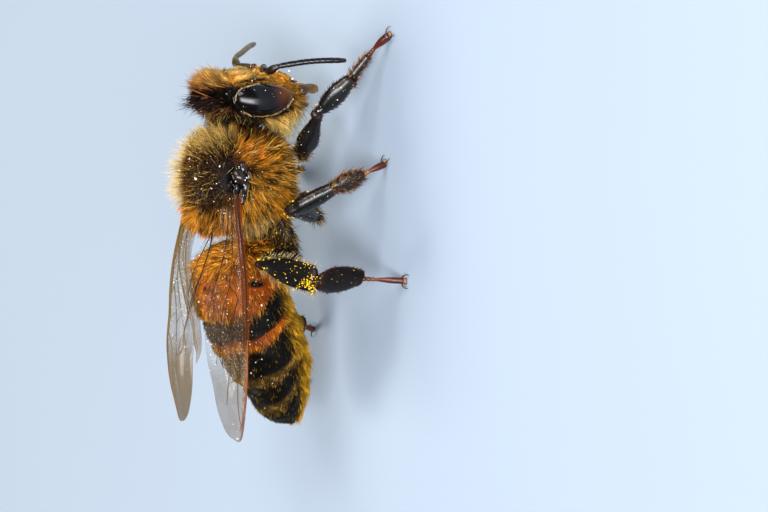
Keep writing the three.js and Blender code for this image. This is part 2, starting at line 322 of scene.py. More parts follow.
def film(name, see_through):
    """A wing film: thin, glossy, and partly clear."""
    finish = new_finish(name, rough=0.14, gloss=0.07)
    carried_colour(finish, "marking", per_mm=1.1, strength=0.25)
    pitted(finish, per_mm=7, strength=0.16, depth_mm=0.02)
    finish.node_tree.nodes["Principled BSDF"].inputs["Alpha"].default_value = see_through
    return finish


# The wing films run from nearly clear to smoky in small steps.
FILM_STEPS = 18
FILM_CLEAREST = 0.08
FILM_SPAN = 0.52
FILM_ALPHAS = FILM_CLEAREST + FILM_SPAN * np.linspace(0, 1, FILM_STEPS) ** 1.3
films = [film(f"wing_film_{step + 1}", float(alpha)) for step, alpha in enumerate(FILM_ALPHAS)]
print("finishes:", len(bpy.data.materials))


# %% [markdown]
# ## Floor and light
# The floor is a wide plain sheet, pale blue-grey. The main lamp stands high before the head and
# gives the long highlights on legs and plates. A tall one at the camera's side, with a small one
# before it, lays the soft bright window on the eye. The last, behind the back, lights the tips of
# the coat. The studio itself is kept dim, so that black plates stay black.

# %% Floor and lamps
FLOOR_HALF = 1.5
FLOOR_BLUE = tint(151, 165, 181)

floor_finish = new_finish("floor", rough=0.8, gloss=0.2)
two_shades(floor_finish, FLOOR_BLUE * 0.97, FLOOR_BLUE * 1.03, per_mm=0.01)
bm = bmesh.new()
bmesh.ops.create_grid(bm, x_segments=2, y_segments=2, size=FLOOR_HALF)
floor_mesh = bpy.data.meshes.new("floor")
bm.to_mesh(floor_mesh)
bm.free()
floor_mesh.materials.append(floor_finish)
floor = put("floor", floor_mesh)


def lamp(name, towards, far, width, height, power, colour):
    """A soft lamp, far millimetres from the thorax in that direction, facing it."""
    light = bpy.data.lights.new(name, "AREA")
    light.shape = "RECTANGLE"
    light.size = width * MM
    light.size_y = height * MM
    light.energy = power
    light.color = colour
    holder = put(name, light)
    direction = Vector(towards).normalized()
    holder.location = (MIDDLE + direction * far) * MM
    holder.rotation_mode = "QUATERNION"
    holder.rotation_quaternion = direction.to_track_quat("Z", "Y")


lamp("lamp_key", (0.66, -0.40, 0.74), 250, 190, 120, 0.60, (1.0, 0.97, 0.93))
lamp("lamp_side", (-0.16, -1.0, 0.50), 240, 126, 240, 0.51, (0.95, 0.96, 1.0))
lamp("lamp_glint", (-0.17, -1.0, 0.52), 236, 66, 170, 0.68, (0.93, 0.94, 1.0))
lamp("lamp_back", (-0.30, 0.75, 0.80), 260, 130, 130, 0.62, (1.0, 0.96, 0.88))

world = bpy.data.worlds.new("studio")
world.use_nodes = True
world.node_tree.nodes["Background"].inputs["Color"].default_value = (0.88, 0.92, 1.0, 1)
world.node_tree.nodes["Background"].inputs["Strength"].default_value = 0.12
bpy.context.scene.world = world
bpy.context.scene.view_settings.view_transform = "Standard"
print("lamps:", len(bpy.data.lights))


# %% [markdown]
# ## Modelling helpers
# Two ways of making cover most of the bee. A plump part starts as a ball of even triangles whose
# points are moved by a formula. A long part starts as a flat grid that is wrapped into a tube, its
# side edges merged and its end rows drawn to a point, so that it is closed.

# %% Modelling helpers
MERGE = 1e-5


def ramp(value, low, high):
    """A soft step from 0 at low to 1 at high."""
    share = np.clip((value - low) / (high - low), 0, 1)
    return share * share * (3 - 2 * share)


def mix(first, second, share):
    """Numbers, or colours and vectors of three numbers, between two, point by point."""
    if 3 in (np.shape(first)[-1:] + np.shape(second)[-1:]):
        share = np.asarray(share)[..., None]
    return first * (1 - share) + second * share


def layered(base, *layers):
    """A base value with others mixed over it in turn, each given with its share."""
    for value, share in layers:
        base = mix(base, value, share)
    return base


def spot(points, centre, reach):
    """1 at a centre, falling softly to 0 at a distance of reach along each axis."""
    away = np.linalg.norm((points - np.array(centre)) / np.array(reach), axis=1)
    return 1 - ramp(away, 0, 1)


def unit(vectors):
    """Vectors made one long."""
    return vectors / np.maximum(np.linalg.norm(vectors, axis=-1, keepdims=True), 1e-9)


def drift(points, wavelength, seed):
    """Smooth random vectors, each part between -1 and 1, that change over about a wavelength."""
    rng = np.random.default_rng(seed)
    total = np.zeros((len(points), 3))
    waves = 7
    for _ in range(waves):
        wave = rng.normal(size=(3, 3)) * 2.6 / wavelength
        total += np.sin(points @ wave + rng.uniform(0, 2 * math.pi, 3))
    return total / math.sqrt(waves)


def mould(bm, shape):
    """Moves every point of a ball to where shape(points) puts it."""
    places = shape(np.array([vert.co for vert in bm.verts]))
    for vert, place in zip(bm.verts, places):
        vert.co = place


def wrap(bm, around, along, shape):
    """A flat grid wrapped into a closed tube: shape(turn, share) gives the places."""
    verts = bmesh.ops.create_grid(bm, x_segments=around, y_segments=along, size=0.5)["verts"]
    flat = np.array([vert.co for vert in verts]) + 0.5
    for vert, place in zip(verts, shape(flat[:, 0] * 2 * math.pi, flat[:, 1])):
        vert.co = place
    paint(bm, verts, (1, 1, 1))
    return verts


def new_bmesh():
    """An empty bmesh whose points can carry the colour called marking."""
    bm = bmesh.new()
    bm.verts.layers.float_color.new("marking")
    return bm


def paint(bm, verts, colours):
    """Gives points the colour that a finish reads as marking."""
    layer = bm.verts.layers.float_color["marking"]
    colours = np.broadcast_to(np.array(colours, dtype=float), (len(verts), 3))
    for vert, colour in zip(verts, colours):
        vert[layer] = (*colour, 1.0)


def place_piece(name, bm, finishes, slot, *nodes, crease=50):
    """Turns a bmesh in millimetres into a finished piece that stands for some nodes."""
    bmesh.ops.remove_doubles(bm, verts=bm.verts, dist=MERGE)
    bmesh.ops.dissolve_degenerate(bm, edges=bm.edges, dist=MERGE)
    bmesh.ops.recalc_face_normals(bm, faces=bm.faces)
    bmesh.ops.scale(bm, vec=(MM, MM, MM), verts=bm.verts)
    mesh = bpy.data.meshes.new(name)
    bm.to_mesh(mesh)
    bm.free()
    for finish in finishes:
        mesh.materials.append(finish)
    mesh.shade_smooth()
    mesh.set_sharp_from_angle(angle=math.radians(crease))
    return register(name, mesh, slot, *nodes)


def register(name, mesh, slot, *nodes):
    """Puts a mesh in the scene as a piece of the bee's one body."""
    piece = put(name, mesh)
    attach(piece, "root")
    if nodes:
        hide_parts(*nodes)
    print(f"{name}: {len(mesh.polygons)} faces")
    return piece


# %% [markdown]
# ## Thorax
# The thorax is the drum that carries wings and legs. Its back is a smooth dome, the scutum. Behind a
# groove stands the scutellum, a rounded bar, and below that the wall falls steeply to the waist. A
# ball's points move out to a boxy egg, and bumps and grooves are added. The skin lies inside the
# solid thorax by the depth of the coat.

# %% Thorax skin
COAT_ON_THORAX = 0.42
thorax_half = (thorax_high - thorax_low) / 2
SKIN_HALF = np.array(thorax_half) - COAT_ON_THORAX
THORAX_BOXINESS = 2.5
BALL_STEPS = 6
HINGE = np.array([0.15, 1.66, 0.86])


def boxy(ball, power):
    """Moves a round ball out to a boxier one of the same reach along the axes."""
    size = (np.abs(ball) ** power).sum(axis=1) ** (1 / power)
    return ball / size[:, None]


def thorax_shape(ball):
    """The skin: narrower at both ends, with bumps and grooves."""
    ball = unit(ball)
    places = boxy(ball, THORAX_BOXINESS) * SKIN_HALF
    ahead, side, height = places.T
    narrow = 1 - 0.16 * ramp(ahead, 0.4, 1.8) - 0.22 * ramp(-ahead, 0.9, 1.9) * ramp(-height, -0.9, 1.2)
    side *= narrow
    ahead -= 0.10 * ramp(height, 0.6, 1.9) * ramp(ahead, 0.4, 1.7)
    height -= 0.12 * ramp(ahead, 0.7, 1.8) * ramp(height, 0.2, 1.8)
    mirrored = np.column_stack([ahead, np.abs(side), height])
    swell = 0.22 * spot(mirrored, (-1.30, 0, 1.35), (0.6, 1.3, 0.7))
    swell -= 0.11 * spot(mirrored, (-0.72, 0, 1.9), (0.20, 1.5, 0.6))
    swell -= 0.10 * spot(mirrored, (-1.72, 0, 0.75), (0.3, 1.6, 0.3))
    swell -= 0.03 * spot(mirrored, (0.5, 0, 1.9), (1.2, 0.05, 0.8))
    swell -= 0.02 * spot(mirrored, (0.1, 0.75, 1.8), (0.9, 0.06, 0.8))
    swell -= 0.20 * spot(mirrored, HINGE, (0.75, 0.5, 0.42))
    swell += 0.10 * spot(mirrored, (1.25, 1.25, 0.75), (0.45, 0.5, 0.4))
    swell -= 0.07 * spot(mirrored, (0.25, 1.8, -0.5), (0.14, 0.9, 1.3))
    swell -= 0.22 * ramp(-height, 0.2, 1.6)
    return np.column_stack([ahead, side, height]) + ball * swell[:, None] + np.array(MIDDLE)


def thorax_marks(points):
    """How far each point of the thorax belongs to each field of the coat."""
    ahead, side, height = (points - np.array(MIDDLE)).T
    mirrored = np.column_stack([ahead, np.abs(side), height])
    edge = 0.10 * drift(points, 0.7, seed=3)[:, 0]
    top = ramp(height + edge, 0.62, 0.98)
    disc = top * ramp(ahead + edge, -0.92, -0.70) * (1 - ramp(ahead + edge, 1.35, 1.75))
    collar = ramp(ahead + edge, 0.75, 1.35) * ramp(height - 0.47 * np.abs(side), -0.05, 0.4)
    bar = (1 - ramp(ahead + edge, -0.92, -0.70)) * ramp(height, 0.35, 0.85)
    gap = spot(mirrored, (-0.98, 1.00, 1.28), (0.36, 0.62, 0.62))
    rear = (1 - ramp(ahead, -1.25, -0.9)) * (1 - ramp(height, 0.35, 0.85))
    hinge = ramp(spot(mirrored, HINGE + (-0.02, -0.02, 0.04), (0.92, 0.75, 0.46)), 0.05, 0.55)
    tuft = spot(mirrored, (0.80, 1.6, 0.42), (0.62, 0.9, 0.55))
    belly = 1 - ramp(height, -1.6, -1.0)
    # front: just behind the head, where the coat gets painted shade between head and thorax.
    front = ramp(ahead, 0.95, 1.45) * (1 - collar)
    return dict(
        disc=disc, collar=collar, bar=bar, gap=gap, rear=rear, hinge=hinge, tuft=tuft, belly=belly,
        front=front,
    )


def thorax_skin_tint(points):
    """The colour of the skin under the coat."""
    marks = thorax_marks(points)
    return layered(
        tint(52, 30, 14), (tint(17, 13, 11), marks["disc"]), (tint(70, 34, 12), marks["bar"] * 0.8),
        (tint(120, 62, 18), marks["tuft"] * 0.8), (tint(8, 6, 6), np.maximum(marks["hinge"], marks["gap"])),
    )


def skin_ball(shape, skin_tint):
    """A moulded and painted ball, ready to be placed."""
    bm = new_bmesh()
    bmesh.ops.create_icosphere(bm, subdivisions=BALL_STEPS, radius=1)
    mould(bm, shape)
    paint(bm, bm.verts[:], skin_tint(np.array([vert.co for vert in bm.verts])))
    return bm


bm = skin_ball(thorax_shape, thorax_skin_tint)
thorax = place_piece("thorax_skin", bm, [skin_finish], "thorax_coat", "thorax")


# %% [markdown]
# ## Head
# The head hangs straight down from the neck, so its face looks forward. From the front it is a
# rounded triangle, widest at the eyes. The face bulges below the feelers into a shield, the
# clypeus, and the back is flat. It is a moulded ball too, and the eyes sit on its sides.

# %% Head skin
head_low, head_high = box_mm("head")
EYE_MIDDLE, EYE_HALF = middle_and_reach("eye_right")
eye_far_low, eye_far_high = box_mm("eye_left")
EYE_OUT = (eye_far_high.y + eye_far_low.y) / 2 - MIDDLE.y
HEAD_MIDDLE = np.array([(head_low.x + head_high.x) / 2, MIDDLE.y, EYE_MIDDLE[2]])
FACE_DEPTH = 0.80
NAPE_DEPTH = 0.66
CROWN = head_high.z - HEAD_MIDDLE[2] - 0.42
CHIN = HEAD_MIDDLE[2] - head_low.z - 0.40
HEAD_HALF_WIDTH = EYE_OUT - 0.02


def shield_away(side, height):
    """How far a place lies from the middle of the face's shield, about 1 at its edge."""
    return np.hypot(side / 0.62, (height + 1.05) / 0.72)


def head_shape(ball):
    """The skin: drawn in towards jaw and crown, with the shield, feeler pits and a hollow nape."""
    ball = unit(ball)
    places = boxy(ball, 2.35)
    ahead = places[:, 0] * np.where(places[:, 0] > 0, FACE_DEPTH, NAPE_DEPTH)
    side = places[:, 1] * HEAD_HALF_WIDTH
    height = places[:, 2] * np.where(places[:, 2] > 0, CROWN, CHIN)
    side *= 1 - 0.34 * ramp(-height, 0.1, CHIN)
    side *= 1 - 0.10 * ramp(height, 0.6, CROWN)
    ahead *= 1 - 0.12 * ramp(-height, 0.9, CHIN)
    mirrored = np.column_stack([ahead, np.abs(side), height])
    swell = 0.16 * ramp(ahead, 0.2, 0.6) * (1 - ramp(shield_away(side, height), 0.86, 1.02))
    swell += 0.05 * ramp(ahead, 0.2, 0.6) * (1 - ramp(np.hypot(side / 0.2, (height + 0.1) / 0.7), 0.5, 1.0))
    swell -= 0.09 * spot(mirrored, (0.8, 0.42, -0.28), (0.5, 0.30, 0.30))
    swell -= 0.02 * spot(mirrored, (0.6, 0.0, 0.9), (0.8, 0.05, 0.7))
    swell -= 0.05 * spot(mirrored, (-0.66, 0, -0.2), (0.5, 0.7, 0.7))
    return np.column_stack([ahead, side, height]) + ball * swell[:, None] + HEAD_MIDDLE


def head_marks(points):
    """How far each point of the head belongs to each field of its coat."""
    ahead, side, height = (points - HEAD_MIDDLE).T
    side = np.abs(side)
    edge = 0.06 * drift(points, 0.5, seed=4)[:, 0]
    crown = ramp(height, 0.75, 1.15)
    wedge = ramp(height, 0.55, 0.9) * (1 - ramp(ahead + edge + 0.22 * ramp(height, 0.9, 1.6), 0.22, 0.42))
    temple = wedge * ramp(ahead + edge, -0.50, -0.32)
    ridge = ramp(height, 1.05, 1.3) * (1 - ramp(np.abs(ahead + 0.14), 0.10, 0.26))
    cheek = ramp(side, 0.55, 0.9) * (1 - ramp(ahead, -0.20, 0.05)) * (1 - ramp(height, 0.8, 1.2))
    behind = ramp(side, 0.35, 0.6) * (1 - ramp(ahead, -0.30, -0.10)) * (1 - ramp(height, 0.4, 0.8))
    cheek = np.maximum(cheek, behind) * ramp(height + edge, -1.6, -1.2)
    nape = (1 - ramp(ahead, -0.52, -0.34)) * (1 - 0.9 * cheek)
    face = ramp(ahead, 0.2, 0.45)
    shield = face * (1 - ramp(shield_away(side, height), 0.8, 1.05))
    # low: the lower head, where the coat's yellow is partly painted yellow light from below.
    low = 1 - ramp(height, -0.7, -0.2)
    beard = low * (1 - ramp(ahead, -0.35, -0.05)) * (1 - cheek)
    return dict(
        crown=crown, temple=temple, ridge=ridge, cheek=cheek, nape=nape, face=face, shield=shield,
        beard=beard, low=low,
    )


def head_skin_tint(points):
    """The colour of the skin under the coat."""
    marks = head_marks(points)
    return layered(
        tint(84, 44, 16), (tint(200, 138, 46), marks["face"] * 0.85),
        (tint(96, 66, 26), marks["shield"] * 0.8),
        (tint(12, 9, 8), np.maximum(marks["temple"], marks["cheek"])),
        (tint(60, 46, 24), marks["nape"] * 0.6),
    )


bm = skin_ball(head_shape, head_skin_tint)
head = place_piece("head_skin", bm, [skin_finish], "head_coat", "head", "neck")


# %% [markdown]
# ## Abdomen
# Six plates show from above. Each overlaps the next like a roof tile, and they lean: their lower
# part lies further forward. The whole abdomen is one wrapped skin. Its width and height are measured
# by cutting the solid rings, and a saw-tooth along the length makes the plates' lips.
#
# The markings follow the plates: amber on the first two, a black band at the rear of the second,
# amber again at the start of the third, then black with a pale edge of felt at the start of the
# fourth and fifth. The coat reads the same function.

# %% Abdomen skin
RINGS = [f"abdomen_{number}" for number in range(1, 7)]
ring_triangles = np.concatenate([points_mm(ring) for ring in RINGS])
abdomen_low, abdomen_high = box_mm(*RINGS)
COAT_ON_ABDOMEN = 0.13
PLATE_ENDS = [0.0, 0.13, 0.478, 0.70, 0.835, 0.93, 1.0]
LIP = 0.055
LEAN = 0.46
BELLY_SWEEP = 0.62
TIP_BLUNT = 0.17
TIP_SWELL = 0.27
ROUNDED = 0.94
ABDOMEN_LONG = abdomen_high.x - abdomen_low.x
CUTS = 70
NOTCH_AT = (-1.9, 1.55, 4.2)

cut_places = np.linspace(abdomen_low.x + 0.02, abdomen_high.x - 0.02, CUTS)
outline = []
for level in cut_places:
    cut = cut_at(ring_triangles, level)
    if len(cut) > 8:
        low, high = cut.min(axis=0), cut.max(axis=0)
        outline.append([level, (low[1] + high[1]) / 2, (low[2] + high[2]) / 2, *((high - low)[1:] / 2)])
outline = np.array(outline)
for column in range(1, 5):
    outline[1:-1, column] = (outline[:-2, column] + outline[1:-1, column] * 2 + outline[2:, column]) / 4
print("abdomen outline cuts:", len(outline))


def abdomen_outline(ahead, column):
    """One column of the cut outline at places along the body."""
    return np.interp(ahead, outline[:, 0], outline[:, column])


def ring_lean(rise, share):
    """How far back a ring lies at this height, less near both ends. It sweeps forward to the belly."""
    fade = ramp(share, 0.0, 0.32) * (1 - 0.85 * ramp(share, 0.82, 1.0))
    return (LEAN * rise - BELLY_SWEEP * ramp(0.5 - rise, 0, 1.1)) * fade


def abdomen_rise(points):
    """Height on the abdomen, 1 at the ridge of the back and -1 at the keel of the belly."""
    half_high = np.maximum(abdomen_outline(points[:, 0], 4), 0.1)
    return np.clip((points[:, 2] - abdomen_outline(points[:, 0], 2)) / half_high, -1, 1)


def abdomen_share(points):
    """How far along the abdomen a point lies, 0 at the waist and 1 at the tip, along leaning rings."""
    straight = (abdomen_high.x - points[:, 0]) / ABDOMEN_LONG
    share = straight
    for _ in range(3):
        share = straight - ring_lean(abdomen_rise(points), share) / ABDOMEN_LONG
    return share


def abdomen_shape(turn, share):
    """The skin: the outline drawn in by the coat's depth, with a lip at the end of each plate."""
    rise = np.sin(turn)
    lip = np.zeros_like(share)
    for start, end in zip(PLATE_ENDS, PLATE_ENDS[1:]):
        inside = (share >= start) & (share < end)
        lip = np.where(inside, LIP * np.clip((share - start) / (end - start), 0, 1) ** 0.6, lip)
    ahead = abdomen_high.x - share * ABDOMEN_LONG - ring_lean(rise, share)
    ahead = np.clip(ahead, abdomen_low.x + TIP_BLUNT, abdomen_high.x)
    inset = COAT_ON_ABDOMEN - lip - TIP_SWELL * ramp(share, 0.76, 0.90) * ramp(rise, -0.6, 0.5)
    ends = np.sqrt(np.clip(1 - np.abs(2 * share - 1) ** 24, 0, 1))
    wide = np.maximum(abdomen_outline(ahead, 3) - inset, 0.05) * ends
    high = np.maximum(abdomen_outline(ahead, 4) - inset, 0.05) * ends
    side = np.sign(np.cos(turn)) * np.abs(np.cos(turn)) ** ROUNDED
    rise = np.sign(rise) * np.abs(rise) ** ROUNDED
    keel = 1 - 0.05 * ramp(-rise, 0.3, 1.0) * np.abs(side)
    places = [ahead, abdomen_outline(ahead, 1) + wide * side * keel, abdomen_outline(ahead, 2) + high * rise]
    return np.column_stack(places)


def abdomen_marks(points):
    """Amber, black and felt along the plates, with soft uneven edges."""
    share = abdomen_share(points) + 0.012 * drift(points, 0.9, seed=5)[:, 0]
    amber = (1 - ramp(share, 0.335, 0.365)) + ramp(share, 0.475, 0.49) * (1 - ramp(share, 0.515, 0.55))
    first = 1 - ramp(share, 0.09, 0.14)
    felt = ramp(share, 0.655, 0.67) * (1 - ramp(share, 0.715, 0.74))
    felt = felt + 0.9 * ramp(share, 0.815, 0.825) * (1 - ramp(share, 0.85, 0.87))
    below = 1 - ramp(abdomen_rise(points) - 0.25 * ramp(share, 0.35, 0.55), -0.85, -0.40)
    mirrored = np.column_stack([points[:, 0], np.abs(points[:, 1] - MIDDLE.y), points[:, 2]])
    notch = ramp(spot(mirrored, NOTCH_AT, (0.30, 0.8, 0.75)), 0.1, 0.5)
    return dict(
        share=share, amber=np.clip(amber, 0, 1), first=first, felt=np.clip(felt, 0, 1), below=below,
        notch=notch,
    )


def abdomen_skin_tint(points):
    """Black plates with clouded amber, browner at the waist, on the felt and along the belly."""
    marks = abdomen_marks(points)
    cloud = drift(points, 0.6, seed=9)[:, 0] * 0.5 + 0.5
    amber = mix(tint(178, 84, 12), tint(112, 42, 8), np.clip(cloud, 0, 1))
    return layered(
        tint(6, 5, 4), (amber, marks["amber"] * (1 - marks["notch"])),
        (tint(50, 28, 12), marks["first"] * 0.6),
        (tint(60, 42, 18), marks["felt"] * 0.7), (tint(70, 44, 16), marks["below"] * 0.55),
    )


bm = new_bmesh()
wrap(bm, 120, 150, abdomen_shape)
bmesh.ops.remove_doubles(bm, verts=bm.verts, dist=MERGE)
paint(bm, bm.verts[:], abdomen_skin_tint(np.array([vert.co for vert in bm.verts])))
abdomen = place_piece("abdomen_skin", bm, [skin_finish], "abdomen_banded", *RINGS, crease=35)


# %% [markdown]
# ## Eyes
# A worker's eye is a tall bean of several thousand facets, black-brown and glossy. The facets are
# too fine to model one by one, so each eye is a moulded ball with cells in its bump.

# %% Eyes
EYE_BOW = 0.06
EYE_ROLL = 0.10
EYE_SET_BACK = 0.09
EYE_SHARE = np.array([1.04, 1.0, 0.84])


def eye_shape(ball, side):
    """A bean, bowed back at its middle and leaning in at the top. side is -1 for the right eye."""
    bean = boxy(unit(ball), 2.15)
    ahead, out, tall = (bean * EYE_HALF * EYE_SHARE).T
    ahead = ahead * (1 + EYE_BOW * bean[:, 2]) - EYE_SET_BACK - 0.10 * (1 - bean[:, 2] ** 2)
    out = out - side * EYE_ROLL * bean[:, 2]
    middle = np.array([EYE_MIDDLE[0] + 0.08, MIDDLE.y + side * EYE_OUT, EYE_MIDDLE[2]])
    return np.column_stack([ahead, out, tall]) + middle


def eye_tint(ball):
    """Black, amber low at the front, and dark brown towards its front and hind edges."""
    ball = unit(ball)
    front = ramp(-ball[:, 2], 0.15, 0.85) * (0.3 + 0.7 * ramp(ball[:, 0], -0.4, 0.5))
    colour = mix(tint(5, 4, 6), tint(100, 52, 18), front * 0.8)
    rim = ramp(np.abs(ball[:, 0]), 0.80, 0.98) * (1 - front)
    return mix(colour, tint(20, 11, 8), rim * 0.6)


for side, label in ((-1, "right"), (1, "left")):
    bm = new_bmesh()
    bmesh.ops.create_icosphere(bm, subdivisions=5, radius=1)
    ball = np.array([vert.co for vert in bm.verts])
    paint(bm, bm.verts[:], eye_tint(ball))
    mould(bm, lambda points, side=side: eye_shape(points, side))
    place_piece(f"eye_{label}_shell", bm, [eye_finish], "eye", f"eye_{label}")


# %% [markdown]
# ## Tubes
# Feelers, leg joints, veins and claws are all tubes. One helper wraps a grid round a smooth path.
# The section is an oval with a broad and a thin radius, and both ends are rounded off.

# %% Tube helpers
def smooth_path(points, count):
    """Count places on a smooth curve through a few points (a Catmull-Rom spline)."""
    points = np.array(points, dtype=float)
    padded = np.vstack([2 * points[0] - points[1], points, 2 * points[-1] - points[-2]])
    where = np.linspace(0, len(points) - 1 - 1e-9, count)
    first = where.astype(int)
    t = (where - first)[:, None]
    a, b, c, d = (padded[first + offset] for offset in range(4))
    return 0.5 * (2 * b + (c - a) * t + (2 * a - 5 * b + 4 * c - d) * t**2 + (3 * b - a - 3 * c + d) * t**3)


def tube(bm, path, broad, thin=None, across=(0, 0, 1), around=12, colour=(1, 1, 1), cap_rows=3):
    """A closed oval tube along a path. across says which way the broad radius points."""
    path = np.array(path, dtype=float)
    count = len(path)
    broad = np.broadcast_to(np.array(broad, dtype=float), count)
    thin = broad if thin is None else np.broadcast_to(np.array(thin, dtype=float), count)
    along = unit(np.gradient(path, axis=0))
    side = unit(np.array(across) - along * (along @ np.array(across))[:, None])
    other = np.cross(along, side)
    angles = np.linspace(0, math.pi / 2, cap_rows + 1)
    rows = []
    for angle in angles[:0:-1]:
        rows.append((path[0] - along[0] * thin[0] * math.sin(angle), math.cos(angle), 0))
    rows += [(path[row], 1.0, row) for row in range(count)]
    for angle in angles[1:]:
        rows.append((path[-1] + along[-1] * thin[-1] * math.sin(angle), math.cos(angle), count - 1))
    middles = np.array([row[0] for row in rows])
    shrink = np.array([row[1] for row in rows])
    index = np.array([row[2] for row in rows])

    def shape(turn, share):
        row = np.rint(share * (len(rows) - 1)).astype(int)
        wide = (broad[index[row]] * shrink[row])[:, None]
        slim = (thin[index[row]] * shrink[row])[:, None]
        turned = np.cos(turn)[:, None] * wide * side[index[row]]
        turned = turned + np.sin(turn)[:, None] * slim * other[index[row]]
        return middles[row] + turned

    verts = wrap(bm, around, len(rows) - 1, shape)
    if np.ndim(colour) == 2:
        row = np.repeat(np.arange(len(rows)), around + 1)
        paint(bm, verts, np.array(colour)[index[row]])
    else:
        paint(bm, verts, colour)
    return verts


def nearest_points(node, other, count=18):
    """The middle of the points of a node that lie nearest to another node: where the two meet."""
    own = np.unique(points_mm(node).reshape(-1, 3).round(4), axis=0)
    far = np.unique(points_mm(other).reshape(-1, 3).round(4), axis=0)
    gaps = np.linalg.norm(own[:, None] - far[None], axis=2).min(axis=1)
    return own[gaps.argsort()[:count]].mean(axis=0)


def farthest_points(node, start, count=14):
    """The middle of the points of a node that lie farthest from a place."""
    own = np.unique(points_mm(node).reshape(-1, 3).round(4), axis=0)
    return own[np.linalg.norm(own - start, axis=1).argsort()[-count:]].mean(axis=0)


def backbone(node, start, bins):
    """A path through the middle of a bent tube: its points averaged by distance from one end."""
    own = np.unique(points_mm(node).reshape(-1, 3).round(4), axis=0)
    away = np.linalg.norm(own - start, axis=1)
    edges = np.linspace(0, away.max() + 1e-6, bins + 1)
    middles = [own[(away >= low) & (away < high)].mean(axis=0) for low, high in zip(edges, edges[1:])
               if ((away >= low) & (away < high)).sum() > 6]
    return np.array([start, *middles[1:-1], farthest_points(node, start)])


# %% [markdown]
# ## Feelers
# Each feeler has a long first joint, the scape, a round knob, and a whip of ten short rings. A ring
# is a slight barrel, so the whip is one tube whose radius pulses ten times.

# %% Feelers
WHIP_RINGS = 10
SCAPE_RADIUS = 0.10
WHIP_RADIUS = 0.104
ROWS_PER_RING = 8
SCAPE_ROWS = 14

# For each feeler: the dark shade of its scape, the dark shade of its whip, and a light shade. The far (left)
# whip is painted olive-gold: painted sheen of the light on it. The near one stays black.
FEELER_SHADES_AND_SHEEN = {
    "right": (tint(9, 7, 7), tint(9, 7, 7), tint(58, 36, 22)),
    "left": (tint(34, 23, 12), tint(112, 90, 26), tint(150, 124, 44)),
}

for label, (dark, whip_dark, light) in FEELER_SHADES_AND_SHEEN.items():
    scape = f"antenna_{label}_scape"
    whip = f"antenna_{label}_flagellum"
    elbow = nearest_points(scape, whip)
    socket = farthest_points(scape, elbow)
    whip_start = nearest_points(whip, scape)
    whip_path = smooth_path(backbone(whip, whip_start, bins=7), WHIP_RINGS * ROWS_PER_RING + 1)
    bm = new_bmesh()
    scape_path = smooth_path([socket, (socket + elbow) / 2 + (0, 0, 0.04), elbow], SCAPE_ROWS)
    swell = SCAPE_RADIUS * (0.8 + 0.3 * np.sin(np.linspace(0.2, 2.9, SCAPE_ROWS)) ** 0.5)
    tube(bm, scape_path, swell, around=16, colour=mix(dark, light, np.linspace(0.25, 0.1, SCAPE_ROWS)))
    knob = smooth_path([elbow, (elbow + whip_start) / 2, whip_path[3]], 5)
    tube(bm, knob, [0.12, 0.15, 0.15, 0.13, 0.10], around=16, colour=mix(dark, light, 0.3))
    tube(bm, [socket - (0.10, 0, 0), socket], [0.15, 0.12], around=16, colour=tint(90, 56, 30))
    phase = np.arange(len(whip_path)) / ROWS_PER_RING
    pulse = 1 - 0.07 * np.abs(np.cos(phase * math.pi)) ** 10
    taper = 0.82 + 0.18 * ramp(phase, 0, 2.5) - 0.22 * ramp(phase, WHIP_RINGS - 0.9, WHIP_RINGS)
    paler = 0.25 * np.abs(np.cos(phase * math.pi)) ** 10 + 0.6 * ramp(phase, 9.2, 10)
    ring_tint = mix(whip_dark, light, paler)
    tube(bm, whip_path, WHIP_RADIUS * pulse * taper, around=16, colour=ring_tint)
    place_piece(f"antenna_{label}", bm, [leg_finish], "feeler", scape, whip, crease=60)


# %% [markdown]
# ## Mouth
# The jaws are two short spoons that hang below the face, narrow in the middle and broad at the tip.
# Behind them the tongue is folded away in its brown sheath. A small lip closes the face above them.

# %% Mouth
JAW_ROWS = 20
TONGUE_ROWS = 12


def spoon(bm, top, tip, across, broad, thin, colour):
    """A jaw: a bent blade that narrows and then widens to a rounded edge."""
    middle = (top + tip) / 2 + np.array((0.08, 0, 0))
    share = np.linspace(0, 1, JAW_ROWS)
    wide = broad * (1 - 0.3 * np.sin(share * math.pi) + 0.1 * share) * np.sqrt(1 - 0.9 * share**6)
    path = smooth_path([top, middle, tip], JAW_ROWS)
    tube(bm, path, wide, thin * (1 - 0.55 * share), across, 20, colour)


for side, label in ((-1, "right"), (1, "left")):
    middle, reach = middle_and_reach(f"mandible_{label}")
    bm = new_bmesh()
    top = middle + reach * (0.0, side * 0.35, 0.72)
    tip = middle + reach * (0.05, -side * 0.35, -0.72)
    shades = mix(tint(52, 26, 12), tint(142, 108, 34), np.linspace(0.1, 1, JAW_ROWS))
    spoon(bm, top, tip, (0.8, side * 0.6, 0), reach[0] * 0.92, 0.2, shades)
    tube(bm, [top + (0, 0, 0.1), top], [0.22, 0.2], around=16, colour=tint(30, 18, 12))
    place_piece(f"jaw_{label}", bm, [leg_finish], "mouthparts", f"mandible_{label}")

middle, _ = middle_and_reach("proboscis")
bm = new_bmesh()
along = np.linspace(0, 1, TONGUE_ROWS)
for side in (-1, 1):
    sheath = [(0, side * 0.12, 0.42), (0.05, side * 0.13, 0.0), (0.02, side * 0.05, -0.34)]
    path = smooth_path(middle + np.array(sheath), TONGUE_ROWS)
    shades = mix(tint(70, 38, 18), tint(140, 84, 36), along)
    tube(bm, path, np.linspace(0.15, 0.05, TONGUE_ROWS), 0.08, (1, 0, 0), colour=shades)
path = smooth_path(middle + np.array([(-0.12, 0, 0.36), (-0.1, 0, -0.1), (-0.02, 0, -0.42)]), TONGUE_ROWS)
shades = mix(tint(120, 66, 26), tint(170, 110, 50), along)
tube(bm, path, np.linspace(0.12, 0.035, TONGUE_ROWS), colour=shades)
place_piece("tongue", bm, [leg_finish], "mouthparts", "proboscis")

